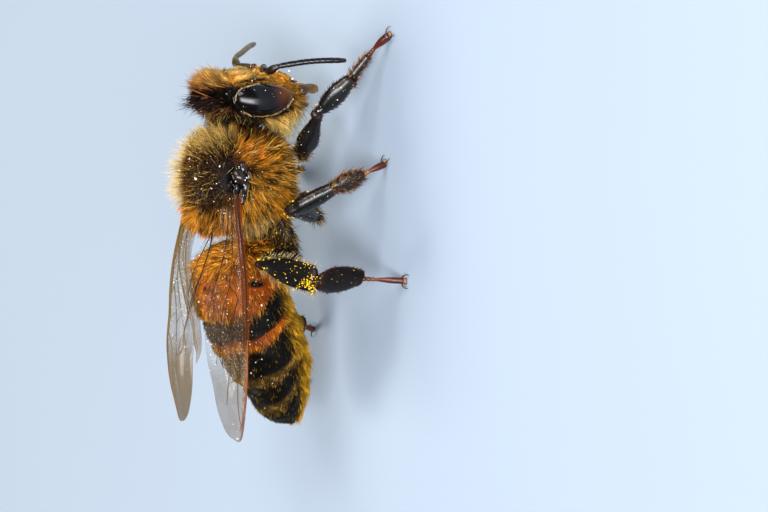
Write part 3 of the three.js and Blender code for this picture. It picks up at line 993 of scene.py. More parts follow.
bm = new_bmesh()
jaw_high = box_mm("mandible_left", "mandible_right")[1]
lip_middle = np.array((HEAD_MIDDLE[0] + 0.44, MIDDLE.y, jaw_high.z + 0.04))
lip = [(0, -0.30, 0.02), (0.05, 0, 0), (0, 0.30, 0.02)]
tube(bm, smooth_path(lip_middle + np.array(lip), 16), 0.15, 0.05, (0, 0, 1), 16, tint(64, 36, 18))
place_piece("upper_lip", bm, [leg_finish], "mouthparts")


# %% [markdown]
# Three small glassy domes, the simple eyes, stand in a triangle on the crown.

# %% Simple eyes
DOME_RADIUS = 0.13
bm = new_bmesh()
for ahead, side in ((0.26, 0.0), (0.02, -0.26), (0.02, 0.26)):
    made = bmesh.ops.create_icosphere(bm, subdivisions=3, radius=DOME_RADIUS)["verts"]
    spot_at = HEAD_MIDDLE + np.array((ahead, side, CROWN - 0.05 - 0.35 * side**2))
    bmesh.ops.translate(bm, vec=spot_at, verts=made)
    paint(bm, made, tint(24, 14, 10))
place_piece("simple_eyes", bm, [eye_finish], "eye")


# %% [markdown]
# ## Wing hinges and waist
# A black shiny scale, the tegula, covers each wing's root like a shoulder plate. Small hinge plates
# lie behind and below it. The waist is a short dark ring between thorax and abdomen.

# %% Wing hinges
# For each small plate: its place from the middle of the scale (ahead, outwards, up), its reach, and
# how far it is turned.
HINGE_PLATES = (
    ((-0.44, -0.06, 0.10), (0.24, 0.12, 0.11), 0.4),
    ((-0.66, 0.04, -0.10), (0.30, 0.09, 0.12), -0.1),
    ((-0.36, -0.02, -0.26), (0.30, 0.13, 0.15), 0.1),
    ((-0.02, -0.10, -0.40), (0.26, 0.12, 0.13), 0.2),
    ((0.36, -0.12, -0.22), (0.22, 0.12, 0.17), -0.2),
    ((-0.36, -0.30, 0.26), (0.34, 0.09, 0.09), 0.7),
    ((-0.80, -0.20, 0.10), (0.26, 0.07, 0.07), 0.3),
)


def pebble(bm, middle, reach, turn=0.0, steps=4, colour=(1, 1, 1)):
    """A smooth lump: a ball drawn out along its own axes and turned about the upright."""
    made = bmesh.ops.create_icosphere(bm, subdivisions=steps, radius=1)["verts"]
    bmesh.ops.scale(bm, vec=reach, verts=made)
    bmesh.ops.rotate(bm, verts=made, matrix=Matrix.Rotation(turn, 3, "Z"))
    bmesh.ops.translate(bm, vec=middle, verts=made)
    paint(bm, made, colour)
    return made


for side, label in ((-1, "right"), (1, "left")):
    middle, reach = middle_and_reach(f"tegula_{label}")
    bm = new_bmesh()
    plate = pebble(bm, middle, reach * (0.74, 0.56, 0.74))
    for vert in plate:
        ahead, aside, height = np.array(vert.co) - middle
        vert.co.z += 0.30 * ahead - 0.10 * (ahead / reach[0]) ** 2
        vert.co.y -= side * (0.16 * (ahead / reach[0]) ** 2 + 0.20 * height)
    for (ahead, outwards, up), small, turn in HINGE_PLATES:
        pebble(bm, middle + (ahead, side * outwards, up), small, turn=side * turn)
    place_piece(f"wing_hinge_{label}", bm, [hinge_black], "shell", f"tegula_{label}")

middle, _ = middle_and_reach("petiole")
bm = new_bmesh()
waist_path = [middle + (offset, 0, 0.02 * offset) for offset in np.linspace(0.5, -0.5, 16)]
waist = 0.40 * (0.85 + 0.15 * np.cos(np.linspace(0, 4 * math.pi, 16)))
tube(bm, waist_path, waist, around=32, colour=(1, 1, 1))
place_piece("waist", bm, [shell_black], "shell", "petiole")


# %% [markdown]
# ## Wings
# A wing is a thin film, stiffened by dark veins. Its edges are measured by cutting the solid wing at
# many places, then faired. A flat grid is laid between them, arched a little, rounded at the tip,
# and given a thickness. The veins are tubes on the film. Their routes are given as shares of the
# wing's length and width, so they fit a wing of any size or tilt.

# %% Wing film
FILM_THICK = 0.016
FILM_LIFT = 0.03
TIP_FROM = 0.78
WING_CUTS = 60
FILM_BROWN = tint(92, 56, 12)
FILM_GREY = tint(106, 80, 20)
FILM_OLIVE = tint(108, 84, 22)
ROOT_WIDTH = 0.42
FILM_AMBER = tint(104, 44, 8)


class Wing:
    """The sheet between a wing's front and hind edge."""

    def __init__(self, node, side, round_from, tip_at, spread, droop, tuck, rise, longer):
        self.side = side
        self.tip_at = tip_at
        self.round_from = round_from
        self.spread = spread
        self.droop = droop
        self.tuck = tuck
        self.rise = rise
        triangles = points_mm(node)
        low, high = box_mm(node)
        self.root, self.tip = high.x, low.x - longer
        rows = []
        for level in np.linspace(high.x - 0.03, low.x + 0.03, WING_CUTS):
            cut = cut_at(triangles, level)
            if len(cut) < 6:
                continue
            out = cut[:, 1] * side
            front = cut[out > out.max() - 0.04]
            hind = cut[out < out.min() + 0.04]
            rows.append([level, front[:, 1].mean(), front[:, 2].min(), hind[:, 1].mean(), hind[:, 2].min()])
        self.rows = np.array(rows)[::-1]
        for column in range(1, 5):
            for _ in range(2):
                line = self.rows[:, column]
                line[1:-1] = (line[:-2] + 2 * line[1:-1] + line[2:]) / 4
        share = (self.root - self.rows[:, 0]) / (self.root - self.tip)
        straight, outer = (share > 0.50) & (share < TIP_FROM), share >= TIP_FROM
        for column in range(1, 5):
            line = np.polyfit(self.rows[straight, 0], self.rows[straight, column], 1)
            self.rows[outer, column] = np.polyval(line, self.rows[outer, 0])
            fair = np.polyfit(self.rows[:, 0], self.rows[:, column], 5)
            self.rows[:, column] = np.polyval(fair, self.rows[:, 0])

    def at(self, along, across):
        """Places on the sheet, for shares of its length from the root and of its width."""
        along = np.asarray(along, dtype=float)
        across = np.asarray(across, dtype=float)
        ahead = self.root + (self.tip - self.root) * along
        edges = [np.interp(ahead, self.rows[:, 0], self.rows[:, column]) for column in range(1, 5)]
        front_y, front_z, hind_y, hind_z = edges
        beyond = np.clip((along - self.round_from) / (1 - self.round_from), 0, 1)
        narrow = np.sqrt(np.clip(1 - beyond**2.1, 0, 1)) * (0.6 + 0.4 * ramp(along, 0, 0.08))
        across = self.tip_at + (across - self.tip_at) * narrow
        arch = 0.07 * np.sin(np.clip(across, 0, 1) * math.pi) * ramp(along, 0, 0.3)
        flute = 0.022 * np.sin(across * 15) * ramp(along, 0.05, 0.3) * (1 - ramp(along, 0.8, 1.0))
        flute = flute + 0.02 * np.sin(along * 23 + across * 5) * ramp(along, 0.5, 0.8)
        height = front_z + (hind_z - front_z) * across + FILM_LIFT + arch + flute
        height = height + self.rise * ramp(along, 0.50, 0.82)
        spread = self.spread * (1 - 0.5 * across) * (1 - 0.15 * ramp(along, 0.88, 1.0))
        slope = np.hypot(front_y - hind_y, front_z - hind_z)
        spread = spread - ROOT_WIDTH * across * (1 - ramp(along, 0.0, 0.30))
        tuck = self.side * self.tuck * (1 - ramp(along, 0.0, 0.55)) ** 2
        out_y = (front_y - hind_y) / slope * spread
        out_z = (front_z - hind_z) / slope * spread - self.droop * np.sin(np.clip(along, 0, 1) * math.pi)
        aside = front_y + (hind_y - front_y) * across + out_y - tuck
        return np.stack([ahead, aside, height + out_z], axis=-1)


def sort_faces(bm):
    """Puts the faces in the order of their points: solidify may leave them otherwise each run."""
    bm.verts.index_update()
    many = len(bm.verts)

    def rank(face):
        low, middle, high = sorted(vert.index for vert in face.verts)[:3]
        return (low * many + middle) * many + high

    bm.faces.sort(key=rank)


def film_piece(name, wing, node, columns, rows, amber, paleness, tip_smoke):
    """The film: a grid laid over the sheet. The more amber a face is, the less clear its finish."""
    bm = new_bmesh()
    verts = bmesh.ops.create_grid(bm, x_segments=columns, y_segments=rows, size=0.5)["verts"]
    flat = np.array([vert.co for vert in verts]) + 0.5
    places = wing.at(flat[:, 1], flat[:, 0])
    for vert, place in zip(verts, places):
        vert.co = place
    share = np.clip(amber(flat[:, 1], flat[:, 0]) + 0.05 * drift(places, 0.8, seed=8)[:, 0], 0, 1)
    smoky = np.clip(share + tip_smoke * ramp(flat[:, 1], 0.58, 0.80) + 0.58 * paleness, 0, 1)
    clear = mix(FILM_BROWN, FILM_GREY, ramp(flat[:, 1], 0.50, 0.72))
    clear = mix(clear, FILM_OLIVE, paleness)
    paint(bm, verts, mix(clear, FILM_AMBER, share))
    bm.verts.index_update()
    for face in bm.faces:
        face_share = np.mean([smoky[vert.index] for vert in face.verts])
        face.material_index = int(face_share * (len(films) - 0.01))
    bmesh.ops.remove_doubles(bm, verts=bm.verts, dist=MERGE)
    bmesh.ops.recalc_face_normals(bm, faces=bm.faces)
    bmesh.ops.solidify(bm, geom=bm.faces[:] + bm.edges[:] + bm.verts[:], thickness=FILM_THICK)
    sort_faces(bm)
    place_piece(name, bm, films, "wing_membrane", node)


# %% [markdown]
# The fore wing's veins, each as a list of (length share, width share). A strong pair runs along the
# front edge. From it three cross-veins close the small cells of the outer wing, and a long narrow
# loop, the marginal cell, ends near the tip. The hind wing has far fewer.

# %% Vein routes
RUST = tint(72, 32, 8)
OLIVE_VEIN = tint(118, 100, 52)
DARK_VEIN = tint(36, 16, 10)
AMBER_VEIN = tint(124, 70, 20)
FORE_VEINS = [
    (0.052, DARK_VEIN, [(0.0, 0.20), (0.12, 0.10), (0.3, 0.055), (0.5, 0.045), (0.60, 0.04)]),
    (0.040, RUST, [(0.02, 0.32), (0.15, 0.22), (0.3, 0.15), (0.45, 0.115), (0.58, 0.10), (0.62, 0.06)]),
    (0.030, AMBER_VEIN, [(0.58, 0.02), (0.70, 0.012), (0.82, 0.02), (0.90, 0.05), (0.95, 0.14)]),
    (0.020, DARK_VEIN, [(0.62, 0.07), (0.66, 0.19), (0.74, 0.225), (0.83, 0.21), (0.90, 0.16), (0.925, 0.09),
                        (0.91, 0.035)]),
    (0.026, DARK_VEIN, [(0.03, 0.45), (0.15, 0.44), (0.28, 0.42), (0.37, 0.43)]),
    (0.022, DARK_VEIN, [(0.37, 0.43), (0.40, 0.30), (0.435, 0.20), (0.46, 0.115)]),
    (0.022, DARK_VEIN, [(0.42, 0.25), (0.50, 0.33), (0.60, 0.37), (0.70, 0.40), (0.80, 0.47), (0.86, 0.55)]),
    (0.018, DARK_VEIN, [(0.56, 0.11), (0.54, 0.24), (0.53, 0.345)]),
    (0.018, DARK_VEIN, [(0.66, 0.19), (0.635, 0.29), (0.625, 0.375)]),
    (0.018, DARK_VEIN, [(0.745, 0.225), (0.755, 0.34), (0.775, 0.45)]),
    (0.020, DARK_VEIN, [(0.37, 0.43), (0.45, 0.52), (0.54, 0.59), (0.62, 0.67), (0.70, 0.76)]),
    (0.018, DARK_VEIN, [(0.575, 0.36), (0.555, 0.47), (0.535, 0.585)]),
    (0.018, DARK_VEIN, [(0.71, 0.41), (0.705, 0.55), (0.665, 0.66), (0.60, 0.655)]),
    (0.022, DARK_VEIN, [(0.04, 0.58), (0.15, 0.66), (0.30, 0.78), (0.42, 0.86), (0.52, 0.90)]),
    (0.018, DARK_VEIN, [(0.35, 0.44), (0.34, 0.62), (0.345, 0.81)]),
]
HIND_VEINS = [
    (0.034, DARK_VEIN, [(0.0, 0.25), (0.2, 0.12), (0.45, 0.10), (0.62, 0.06)]),
    (0.020, DARK_VEIN, [(0.42, 0.11), (0.60, 0.30), (0.78, 0.42), (0.90, 0.50)]),
    (0.020, DARK_VEIN, [(0.05, 0.5), (0.25, 0.55), (0.45, 0.62), (0.65, 0.78)]),
    (0.018, DARK_VEIN, [(0.42, 0.11), (0.40, 0.35), (0.43, 0.61)]),
]


def vein_piece(name, wing, veins, paleness):
    """Every vein of one wing, each a thin tapering tube on the film."""
    bm = new_bmesh()
    for radius, colour, route in veins:
        steps = 10 * len(route)
        line = smooth_path([(along, across, 0) for along, across in route], steps)
        path = wing.at(line[:, 0], line[:, 1])
        fade = mix(np.array(colour), AMBER_VEIN, ramp(line[:, 0], 0.55, 0.95) * 0.5)
        fade = mix(fade, OLIVE_VEIN, paleness)
        size = radius * np.linspace(1.0, 0.62, steps)
        tube(bm, path, size, size * 0.8, (0, 1, 0), 8, fade, cap_rows=2)
    place_piece(name, bm, [vein_finish], "wing_membrane")


# %% [markdown]
# The four wings lie differently. A setting gives the length share where the tip starts to round
# off, the width share where it ends, and, in millimetres, how far the wing is spread, drooped,
# tucked in at its root, raised in its outer part and made longer.

# %% Four wings
def fore_amber(along, across):
    """How amber a fore wing is: along its front edge, and over more of its width near the root."""
    edge = 0.05 + 0.50 * np.clip(1 - along / 0.55, 0, 1)
    return 1 - ramp(across, edge * 0.35, edge + 0.06)


def hind_amber(along, across):
    """How amber a hind wing is: a little, along its front edge."""
    return 0.4 * (1 - ramp(across, 0.02, 0.25))


FORE_SETTING = {
    "right": (0.84, 0.22, 0.50, 0.0, 0.0, 0.0, 0.0),
    "left": (0.76, 0.42, -0.2, 0.16, 0.70, 0.32, 0.0),
}
HIND_SETTING = {
    "right": (0.70, 0.22, 0.50, 0.0, 0.0, 0.0, 0.0),
    "left": (0.60, 0.50, -0.3, 0.16, 0.2, -0.05, 0.35),
}
PALENESS = {"right": 0.0, "left": 0.7}

for side, label in ((-1, "right"), (1, "left")):
    paleness = PALENESS[label]
    fore = Wing(f"forewing_{label}", side, *FORE_SETTING[label])
    hind = Wing(f"hindwing_{label}", side, *HIND_SETTING[label])
    film_piece(f"fore_wing_{label}", fore, f"forewing_{label}", 48, 120, fore_amber, paleness, 0.54)
    film_piece(f"hind_wing_{label}", hind, f"hindwing_{label}", 24, 70, hind_amber, paleness, 0.16)
    vein_piece(f"fore_veins_{label}", fore, FORE_VEINS, paleness)
    vein_piece(f"hind_veins_{label}", hind, HIND_VEINS, paleness)


# %% [markdown]
# ## Legs
# An insect's leg is a chain of stiff tubes: hip, thigh, shin, heel, three small cups, and a last
# joint with two forked claws and a soft pad. The joints are found where the solid pieces of a leg
# meet, and the width of each tube is measured by cutting its solid across.

# %% Measuring a limb
ROWS = ("fore", "mid", "hind")
SIDES = ("right", "left")
LIMB_ROWS = 26
LIMB_FIT = 0.97


def measure_limb(node, start, end):
    """The axes of one limb and its widths along its length."""
    triangles = points_mm(node)
    along = unit(end - start)
    long = np.linalg.norm(end - start)
    spots = triangles.reshape(-1, 3) - start
    flat = spots - (spots @ along)[:, None] * along
    _, vectors = np.linalg.eigh(flat.T @ flat)
    broad = unit(vectors[:, 2] - along * (vectors[:, 2] @ along))
    thin = np.cross(along, broad)
    local = (triangles - start) @ np.array([along, broad, thin]).T
    shares, widths = [], []
    for share in np.linspace(0.06, 0.94, 15):
        cut = cut_at(local, share * long)
        if len(cut) > 8:
            low, high = cut.min(axis=0), cut.max(axis=0)
            shares.append(share)
            widths.append([*((low + high)[1:] / 2), *((high - low)[1:] / 2)])
    return dict(node=node, start=start, end=end, along=along, broad=broad, thin=thin, long=long,
                shares=np.array(shares), widths=np.array(widths))


def limb_line(limb):
    """The middle line of a limb and its two radii at each row."""
    share = np.linspace(0, 1, LIMB_ROWS)
    middle_broad, middle_thin, broad, thin = (
        np.interp(share, limb["shares"], limb["widths"][:, column]) for column in range(4)
    )
    line = limb["start"] + limb["along"] * (share * limb["long"])[:, None]
    line = line + limb["broad"] * middle_broad[:, None] + limb["thin"] * middle_thin[:, None]
    return share, line, broad * LIMB_FIT, thin * LIMB_FIT


LEGS = {}
for row in ROWS:
    for side in SIDES:
        hip, thigh, shin, heel, foot = (
            f"{row}_{side}_{part}" for part in ("coxa", "femur", "tibia", "basitarsus", "tarsus")
        )
        joints = [nearest_points(a, b) for a, b in ((hip, thigh), (thigh, shin), (shin, heel), (heel, foot))]
        joints.insert(0, farthest_points(hip, joints[0]))
        foot_points = points_mm(foot).reshape(-1, 3)
        sole = foot_points[foot_points[:, 2] < 0.01].mean(axis=0)
        toe = farthest_points(foot, joints[4])
        parts = {}
        nodes = (hip, thigh, shin, heel)
        for part, node, start, end in zip(("hip", "thigh", "shin", "heel"), nodes, joints, joints[1:]):
            limb = measure_limb(node, start, end)
            limb.update(row=row, part=part, side=side)
            parts[part] = limb
        LEGS[row, side] = dict(parts=parts, sole=sole, toe=toe, ankle=joints[4])
print("limbs measured:", sum(len(leg["parts"]) for leg in LEGS.values()))


# %% [markdown]
# Hip, thigh, shin and heel are tubes with rounded ends that narrow a little at each joint, joined
# by a small brown knob. The hind shin is flat and hollowed on its outer face, where the bee packs
# pollen. A pale spur stands at the end of the middle shin, and a flap for cleaning the feelers at
# the end of the fore shin.

# %% Limb shells
LEG_BLACK = tint(13, 11, 11)
LEG_BROWN = tint(54, 28, 15)
HEEL_BROWN = tint(16, 11, 9)
FLATTEN = {"hip": 0.92, "thigh": 0.96, "shin": 0.92, "heel": 0.80}
HIND_SHIN_FLAT = 0.72
KNOB_LEAST = 0.12

# Each outline is the width at five places, evenly spaced from the body outwards.
HIP_OUTLINE = (0.9, 1.0, 1.0, 1.0, 0.9)
OUTLINES = {
    "fore_hip": HIP_OUTLINE, "mid_hip": HIP_OUTLINE, "hind_hip": HIP_OUTLINE,
    "fore_thigh": (0.90, 1.26, 1.14, 0.84, 0.66), "mid_thigh": (0.85, 1.08, 1.05, 0.95, 0.8),
    "hind_thigh": (0.8, 1.0, 1.08, 1.05, 0.85),
    "fore_shin": (0.66, 0.90, 1.10, 1.12, 0.86), "mid_shin": (1.0, 1.22, 1.16, 1.10, 0.92),
    "hind_shin": (0.55, 0.88, 1.04, 1.04, 0.98),
    "fore_heel": (0.60, 0.66, 0.64, 0.62, 0.56), "mid_heel": (0.72, 0.94, 1.0, 0.95, 0.7),
    "hind_heel": (0.82, 1.0, 1.02, 0.98, 0.78),
}


def limb_shell(bm, limb, flatten):
    """One limb: a tube along its middle line, brown at both ends, with a knob where it starts."""
    share, line, broad, thin = limb_line(limb)
    widths = OUTLINES[limb["row"] + "_" + limb["part"]]
    narrow = smooth_path([(width, 0, 0) for width in widths], len(share))[:, 0]
    basket = limb["row"] == "hind" and limb["part"] == "shin"
    if basket:
        flatten = HIND_SHIN_FLAT
    shade = LEG_BLACK if limb["part"] != "heel" else HEEL_BROWN
    ends = 0.45 * (1 - ramp(share, 0.0, 0.08)) + 0.45 * ramp(share, 0.93, 1.0)
    colour = mix(np.array(shade), LEG_BROWN, ends)
    verts = tube(bm, line, broad * narrow, thin * narrow * flatten, limb["broad"], 28, colour)
    if basket:
        hollow_out(verts, limb, broad.max())
    knob = max(thin[0], KNOB_LEAST) * 0.72
    pebble(bm, line[0], (knob, knob, knob), steps=3, colour=LEG_BROWN * 0.7)


def hollow_out(verts, limb, reach):
    """Presses a shallow dish into the outer face of the hind shin."""
    outward = 1 if limb["thin"][1] * (1 if limb["side"] == "left" else -1) > 0 else -1
    for vert in verts:
        local = np.array(vert.co) - limb["start"]
        share = local @ limb["along"] / limb["long"]
        aside = local @ limb["broad"] / reach
        face = local @ limb["thin"] * outward
        if face > 0 and 0.25 < share < 1.0:
            dish = 0.07 * max(0.0, 1 - (aside / 0.8) ** 2) * min(1.0, (share - 0.25) * 3)
            vert.co -= Vector(limb["thin"] * outward * dish)


for (row, side), leg in LEGS.items():
    bm = new_bmesh()
    for part in ("hip", "thigh", "shin"):
        limb_shell(bm, leg["parts"][part], FLATTEN[part])
    shin = leg["parts"]["shin"]
    edge = shin["broad"] if row != "hind" else -shin["broad"]
    spur_start = shin["end"] - shin["along"] * 0.06 + shin["thin"] * 0.05
    if row == "mid":
        hook = [(0, 0.10), (0.20, 0.24), (0.42, 0.22), (0.56, 0.10)]
        spur = [spur_start + shin["along"] * ahead - edge * aside for ahead, aside in hook]
        size = np.linspace(0.045, 0.012, 16)
        tube(bm, smooth_path(spur, 16), size, colour=tint(226, 196, 120))
    if row == "fore":
        reach = ((0, 0.1), (0.15, 0.16), (0.34, 0.12))
        flap = [spur_start + shin["along"] * ahead + edge * aside for ahead, aside in reach]
        tube(bm, smooth_path(flap, 12), np.linspace(0.05, 0.015, 12), colour=tint(120, 66, 26))
    names = [leg["parts"][part]["node"] for part in ("hip", "thigh", "shin")]
    finish = hind_leg_finish if row == "hind" else leg_finish
    place_piece(f"leg_{row}_{side}", bm, [finish], "leg_shell", *names)

    bm = new_bmesh()
    limb_shell(bm, leg["parts"]["heel"], FLATTEN["heel"])
    place_piece(f"heel_{row}_{side}", bm, [finish], "foot", leg["parts"]["heel"]["node"])


# %% [markdown]
# The foot beyond the heel: three cups that widen forward, each with the next one sitting in its
# mouth, then a longer reddish joint. Two claws spread from its end, each with a smaller inner
# point, and a pale pad lies between them. Pad and claw tips touch the floor.

# %% Feet
FOOT_RED = tint(116, 44, 22)
FOOT_GOLD = tint(168, 112, 52)
CUP_SHADES = {"fore": tint(70, 36, 18), "mid": tint(112, 78, 34), "hind": tint(74, 34, 18)}
TOE_SWELL = {"fore": 0.096, "mid": 0.07, "hind": 0.07}
FOOT_ROWS = 60
CUPS = 3
CUPS_SHARE = 0.36
PAD_HEIGHT = 0.075
CLAW_REACH = 0.26
CLAW_ROWS = 14


def claw(bm, root, ahead, aside, reach, thick):
    """One hook that leaves sideways, turns forward and bends down to the floor."""
    down = np.array((0, 0, -1.0))
    drop = root[2] - thick * 0.4
    knots = [root, root + aside * reach * 0.45 + ahead * reach * 0.35 + (0, 0, 0.02),
             root + aside * reach * 0.72 + ahead * reach * 0.85 + down * drop * 0.35,
             root + aside * reach * 0.66 + ahead * reach * 1.12 + down * drop * 0.95]
    shades = mix(tint(96, 44, 20), tint(14, 8, 6), np.linspace(0, 1, CLAW_ROWS))
    taper = thick * np.linspace(1, 0.22, CLAW_ROWS)
    tube(bm, smooth_path(knots, CLAW_ROWS), taper, around=10, colour=shades)


for (row, side), leg in LEGS.items():
    bm = new_bmesh()
    start = leg["ankle"]
    end = leg["sole"] + (0, 0, 0.13)
    over = (start + end) / 2 + (0, 0, 0.06)
    line = smooth_path([start, over, end], FOOT_ROWS + 1)
    cup_rows = int(FOOT_ROWS * CUPS_SHARE) // CUPS
    for cup in range(CUPS):
        path = line[cup * cup_rows:(cup + 1) * cup_rows + 2]
        widen = np.linspace(0.062, 0.108, len(path)) * (1 - 0.08 * cup)
        tube(bm, path, widen, widen * 0.85, (0, 0, 1), 16, mix(CUP_SHADES[row], FOOT_GOLD, 0.12 * cup))
    path = line[CUPS * cup_rows - 1:]
    widen = 0.056 + TOE_SWELL[row] * ramp(np.linspace(0, 1, len(path)), 0.0, 0.75)
    shades = mix(FOOT_RED * 0.8, FOOT_RED * 0.30, np.linspace(0, 1, len(path)))
    tube(bm, path, widen, widen * 0.9, (0, 0, 1), 16, shades)
    ahead = unit((leg["toe"] - start) * (1, 1, 0))
    aside = np.cross((0, 0, 1.0), ahead)
    for way in (-1, 1):
        root = line[-1] + aside * way * 0.05
        claw(bm, root, ahead, aside * way, CLAW_REACH, 0.034)
        claw(bm, root, ahead, aside * way * 0.4, CLAW_REACH * 0.62, 0.024)
    place_piece(f"foot_{row}_{side}", bm, [leg_finish], "foot", f"{row}_{side}_tarsus")
    bm = new_bmesh()
    heading = math.atan2(ahead[1], ahead[0])
    pad = pebble(bm, line[-1] + ahead * 0.10 + (0, 0, -0.06), (0.10, 0.11, PAD_HEIGHT), turn=heading)
    for vert in pad:
        vert.co.z = max(vert.co.z, 0.0)
    place_piece(f"pad_{row}_{side}", bm, [pad_finish], "foot")


# %% [markdown]
# ## The coat
# A bee's hairs are a fiftieth of a millimetre thick, thin on the back and packed like felt on the
# flanks. Each hair here is real mesh: a three-sided tapering strand with a bend in it. Nearly
# ninety thousand of them are made as joined meshes from arrays.
#
# A coat is combed in four steps. Roots are scattered evenly over the skin's triangles. A look
# function then tells, for each root, how long its hair is, which way it lies, and its colours: at
# the root the hair's own colour darkened with painted shade under the coat, and at the tip its own
# colour. Neighbouring tips are drawn together into locks, and hairs in the gaps between locks are
# darkened with painted shade. Last, each strand becomes a small mesh, with a UV map that puts it, as
# a tiny patch, at its root's place on an unwrap of the skin.

# %% Scattering roots and combing
PATCH = 0.003
STRAND_SIDES = 3
LOCK_SPREAD = 0.35
COAT_LIMIT = 190000
VECTORS = ("lie", "shaded_root_tint", "tip_tint")


def scatter(piece, per_mm2, seed):
    """Roots spread evenly over a skin: places in millimetres and the way out of the skin."""
    mesh = piece.data
    mesh.calc_loop_triangles()
    triangles = read_threes(mesh.loop_triangles, "vertices", int)
    corners = read_threes(mesh.vertices, "co")[triangles] / MM
    outward = read_threes(mesh.vertices, "normal")
    areas = np.linalg.norm(np.cross(corners[:, 1] - corners[:, 0], corners[:, 2] - corners[:, 0]), axis=1) / 2
    rng = np.random.default_rng(seed)
    count = int(areas.sum() * per_mm2)
    chosen = rng.choice(len(areas), size=count, p=areas / areas.sum())
    weights = rng.dirichlet((1, 1, 1), size=count)
    roots = (corners[chosen] * weights[:, :, None]).sum(axis=1)
    normals = unit((outward[triangles[chosen]] * weights[:, :, None]).sum(axis=1))
    return roots, normals, rng


def unwrapped(roots, middle, half, pole=0):
    """Roots on an equal-area unwrap of a rounded skin, both numbers from 0 to 1."""
    around = unit((roots - middle) / half)
    first, second = [axis for axis in range(3) if axis != pole]
    turn = np.arctan2(around[:, second], around[:, first]) / (2 * math.pi) + 0.5
    return np.column_stack([turn, around[:, pole] * 0.5 + 0.5])


def comb(roots, normals, uv, look, rng, steps=3):
    """Strands for the roots, as the look says: numbers for each root, or one number for them all."""
    count = len(roots)
    look = {
        key: np.broadcast_to(np.array(value, dtype=float), (count, 3) if key in VECTORS else count)
        for key, value in look.items()
    }
    keep = rng.random(count) < look.pop("thick")
    roots, normals, uv = roots[keep], normals[keep], uv[keep]
    look = {key: value[keep] for key, value in look.items()}
    count = len(roots)
    lie = look["lie"] - normals * (look["lie"] * normals).sum(axis=1, keepdims=True)
    lie = unit(lie)
    stand = look["stand"][:, None]
    start = unit(normals * stand + lie * (1 - stand) + rng.normal(size=(count, 3)) * look["frizz"][:, None])
    sway = drift(roots, 0.5, seed=int(rng.integers(1000))) * look["sway"][:, None]
    end = unit(start + lie * look["curl"][:, None] + sway)
    length = look["length"] * (0.50 + 0.75 * rng.random(count) ** 1.6)
    tips = roots + (start * 0.45 + end * 0.6) * length[:, None]
    lock_count = max(1, int(count * look["locks"].mean()))
    heads = rng.choice(count, size=lock_count, replace=False)
    tree = KDTree(lock_count)
    for index, head_index in enumerate(heads):
        tree.insert(roots[head_index], index)
    tree.balance()
    lock = np.array([tree.find(root)[1] for root in roots])
    nearest = heads[lock]
    pull = (look["gather"] * rng.uniform(0.4, 1.0, count))[:, None]
    gathered = tips[nearest] + (roots - roots[nearest]) * LOCK_SPREAD
    tips = tips * (1 - pull) + gathered * pull
    tone = np.exp(rng.normal(0, 1, lock_count)[lock] * look["tone"])
    # Hairs far from the head of their lock are darkened: painted shade in the gaps between locks.
    apart = np.linalg.norm(roots - roots[nearest], axis=1)
    gap_shade = 1 - look["gap_shade"] * ramp(apart / np.median(apart), 0.7, 1.7)
    share = np.linspace(0, 1, steps + 1)[None, :, None]
    bend = roots + start * length[:, None] * 0.5
    sunk = roots - normals * 0.02
    paths = (1 - share) ** 2 * sunk[:, None] + 2 * share * (1 - share) * bend[:, None]
    paths = paths + share**2 * tips[:, None]
    return dict(
        paths=paths,
        width=look["width"] * rng.uniform(0.75, 1.2, count),
        shaded_root_tint=look["shaded_root_tint"] * (tone * gap_shade)[:, None],
        tip_tint=look["tip_tint"] * (tone * gap_shade)[:, None],
        ripen=look["ripen"],
        uv=uv,
    )


def joined(strand_sets):
    """Several sets of strands as one."""
    return {key: np.concatenate([strands[key] for strands in strand_sets]) for key in strand_sets[0]}


# %% [markdown]
# The mesh of one strand is three rings of three points and a tip. Because every strand has the same
# few faces, all the corners can be written as one table: the faces of the first strand, repeated
# with the strand's own first point added.

# %% Strands into meshes
def strand_faces(steps):
    """The triangles of one strand, closed at its root."""
    faces = [(0, 2, 1)]
    for ring in range(steps - 1):
        for side in range(STRAND_SIDES):
            low = ring * STRAND_SIDES + side
            low_next = ring * STRAND_SIDES + (side + 1) % STRAND_SIDES
            faces.append((low, low_next, low_next + STRAND_SIDES))
            faces.append((low, low_next + STRAND_SIDES, low + STRAND_SIDES))
    last = (steps - 1) * STRAND_SIDES
    for side in range(STRAND_SIDES):
        faces.append((last + side, last + (side + 1) % STRAND_SIDES, last + STRAND_SIDES))
    return np.array(faces)


def carry(mesh, colours):
    """Gives a finished mesh's points the colour that a finish reads as marking."""
    colours = np.concatenate([colours, np.ones((*colours.shape[:-1], 1))], axis=-1)
    layer = mesh.color_attributes.new(name="marking", type="FLOAT_COLOR", domain="POINT")
    layer.data.foreach_set("color", colours.ravel())


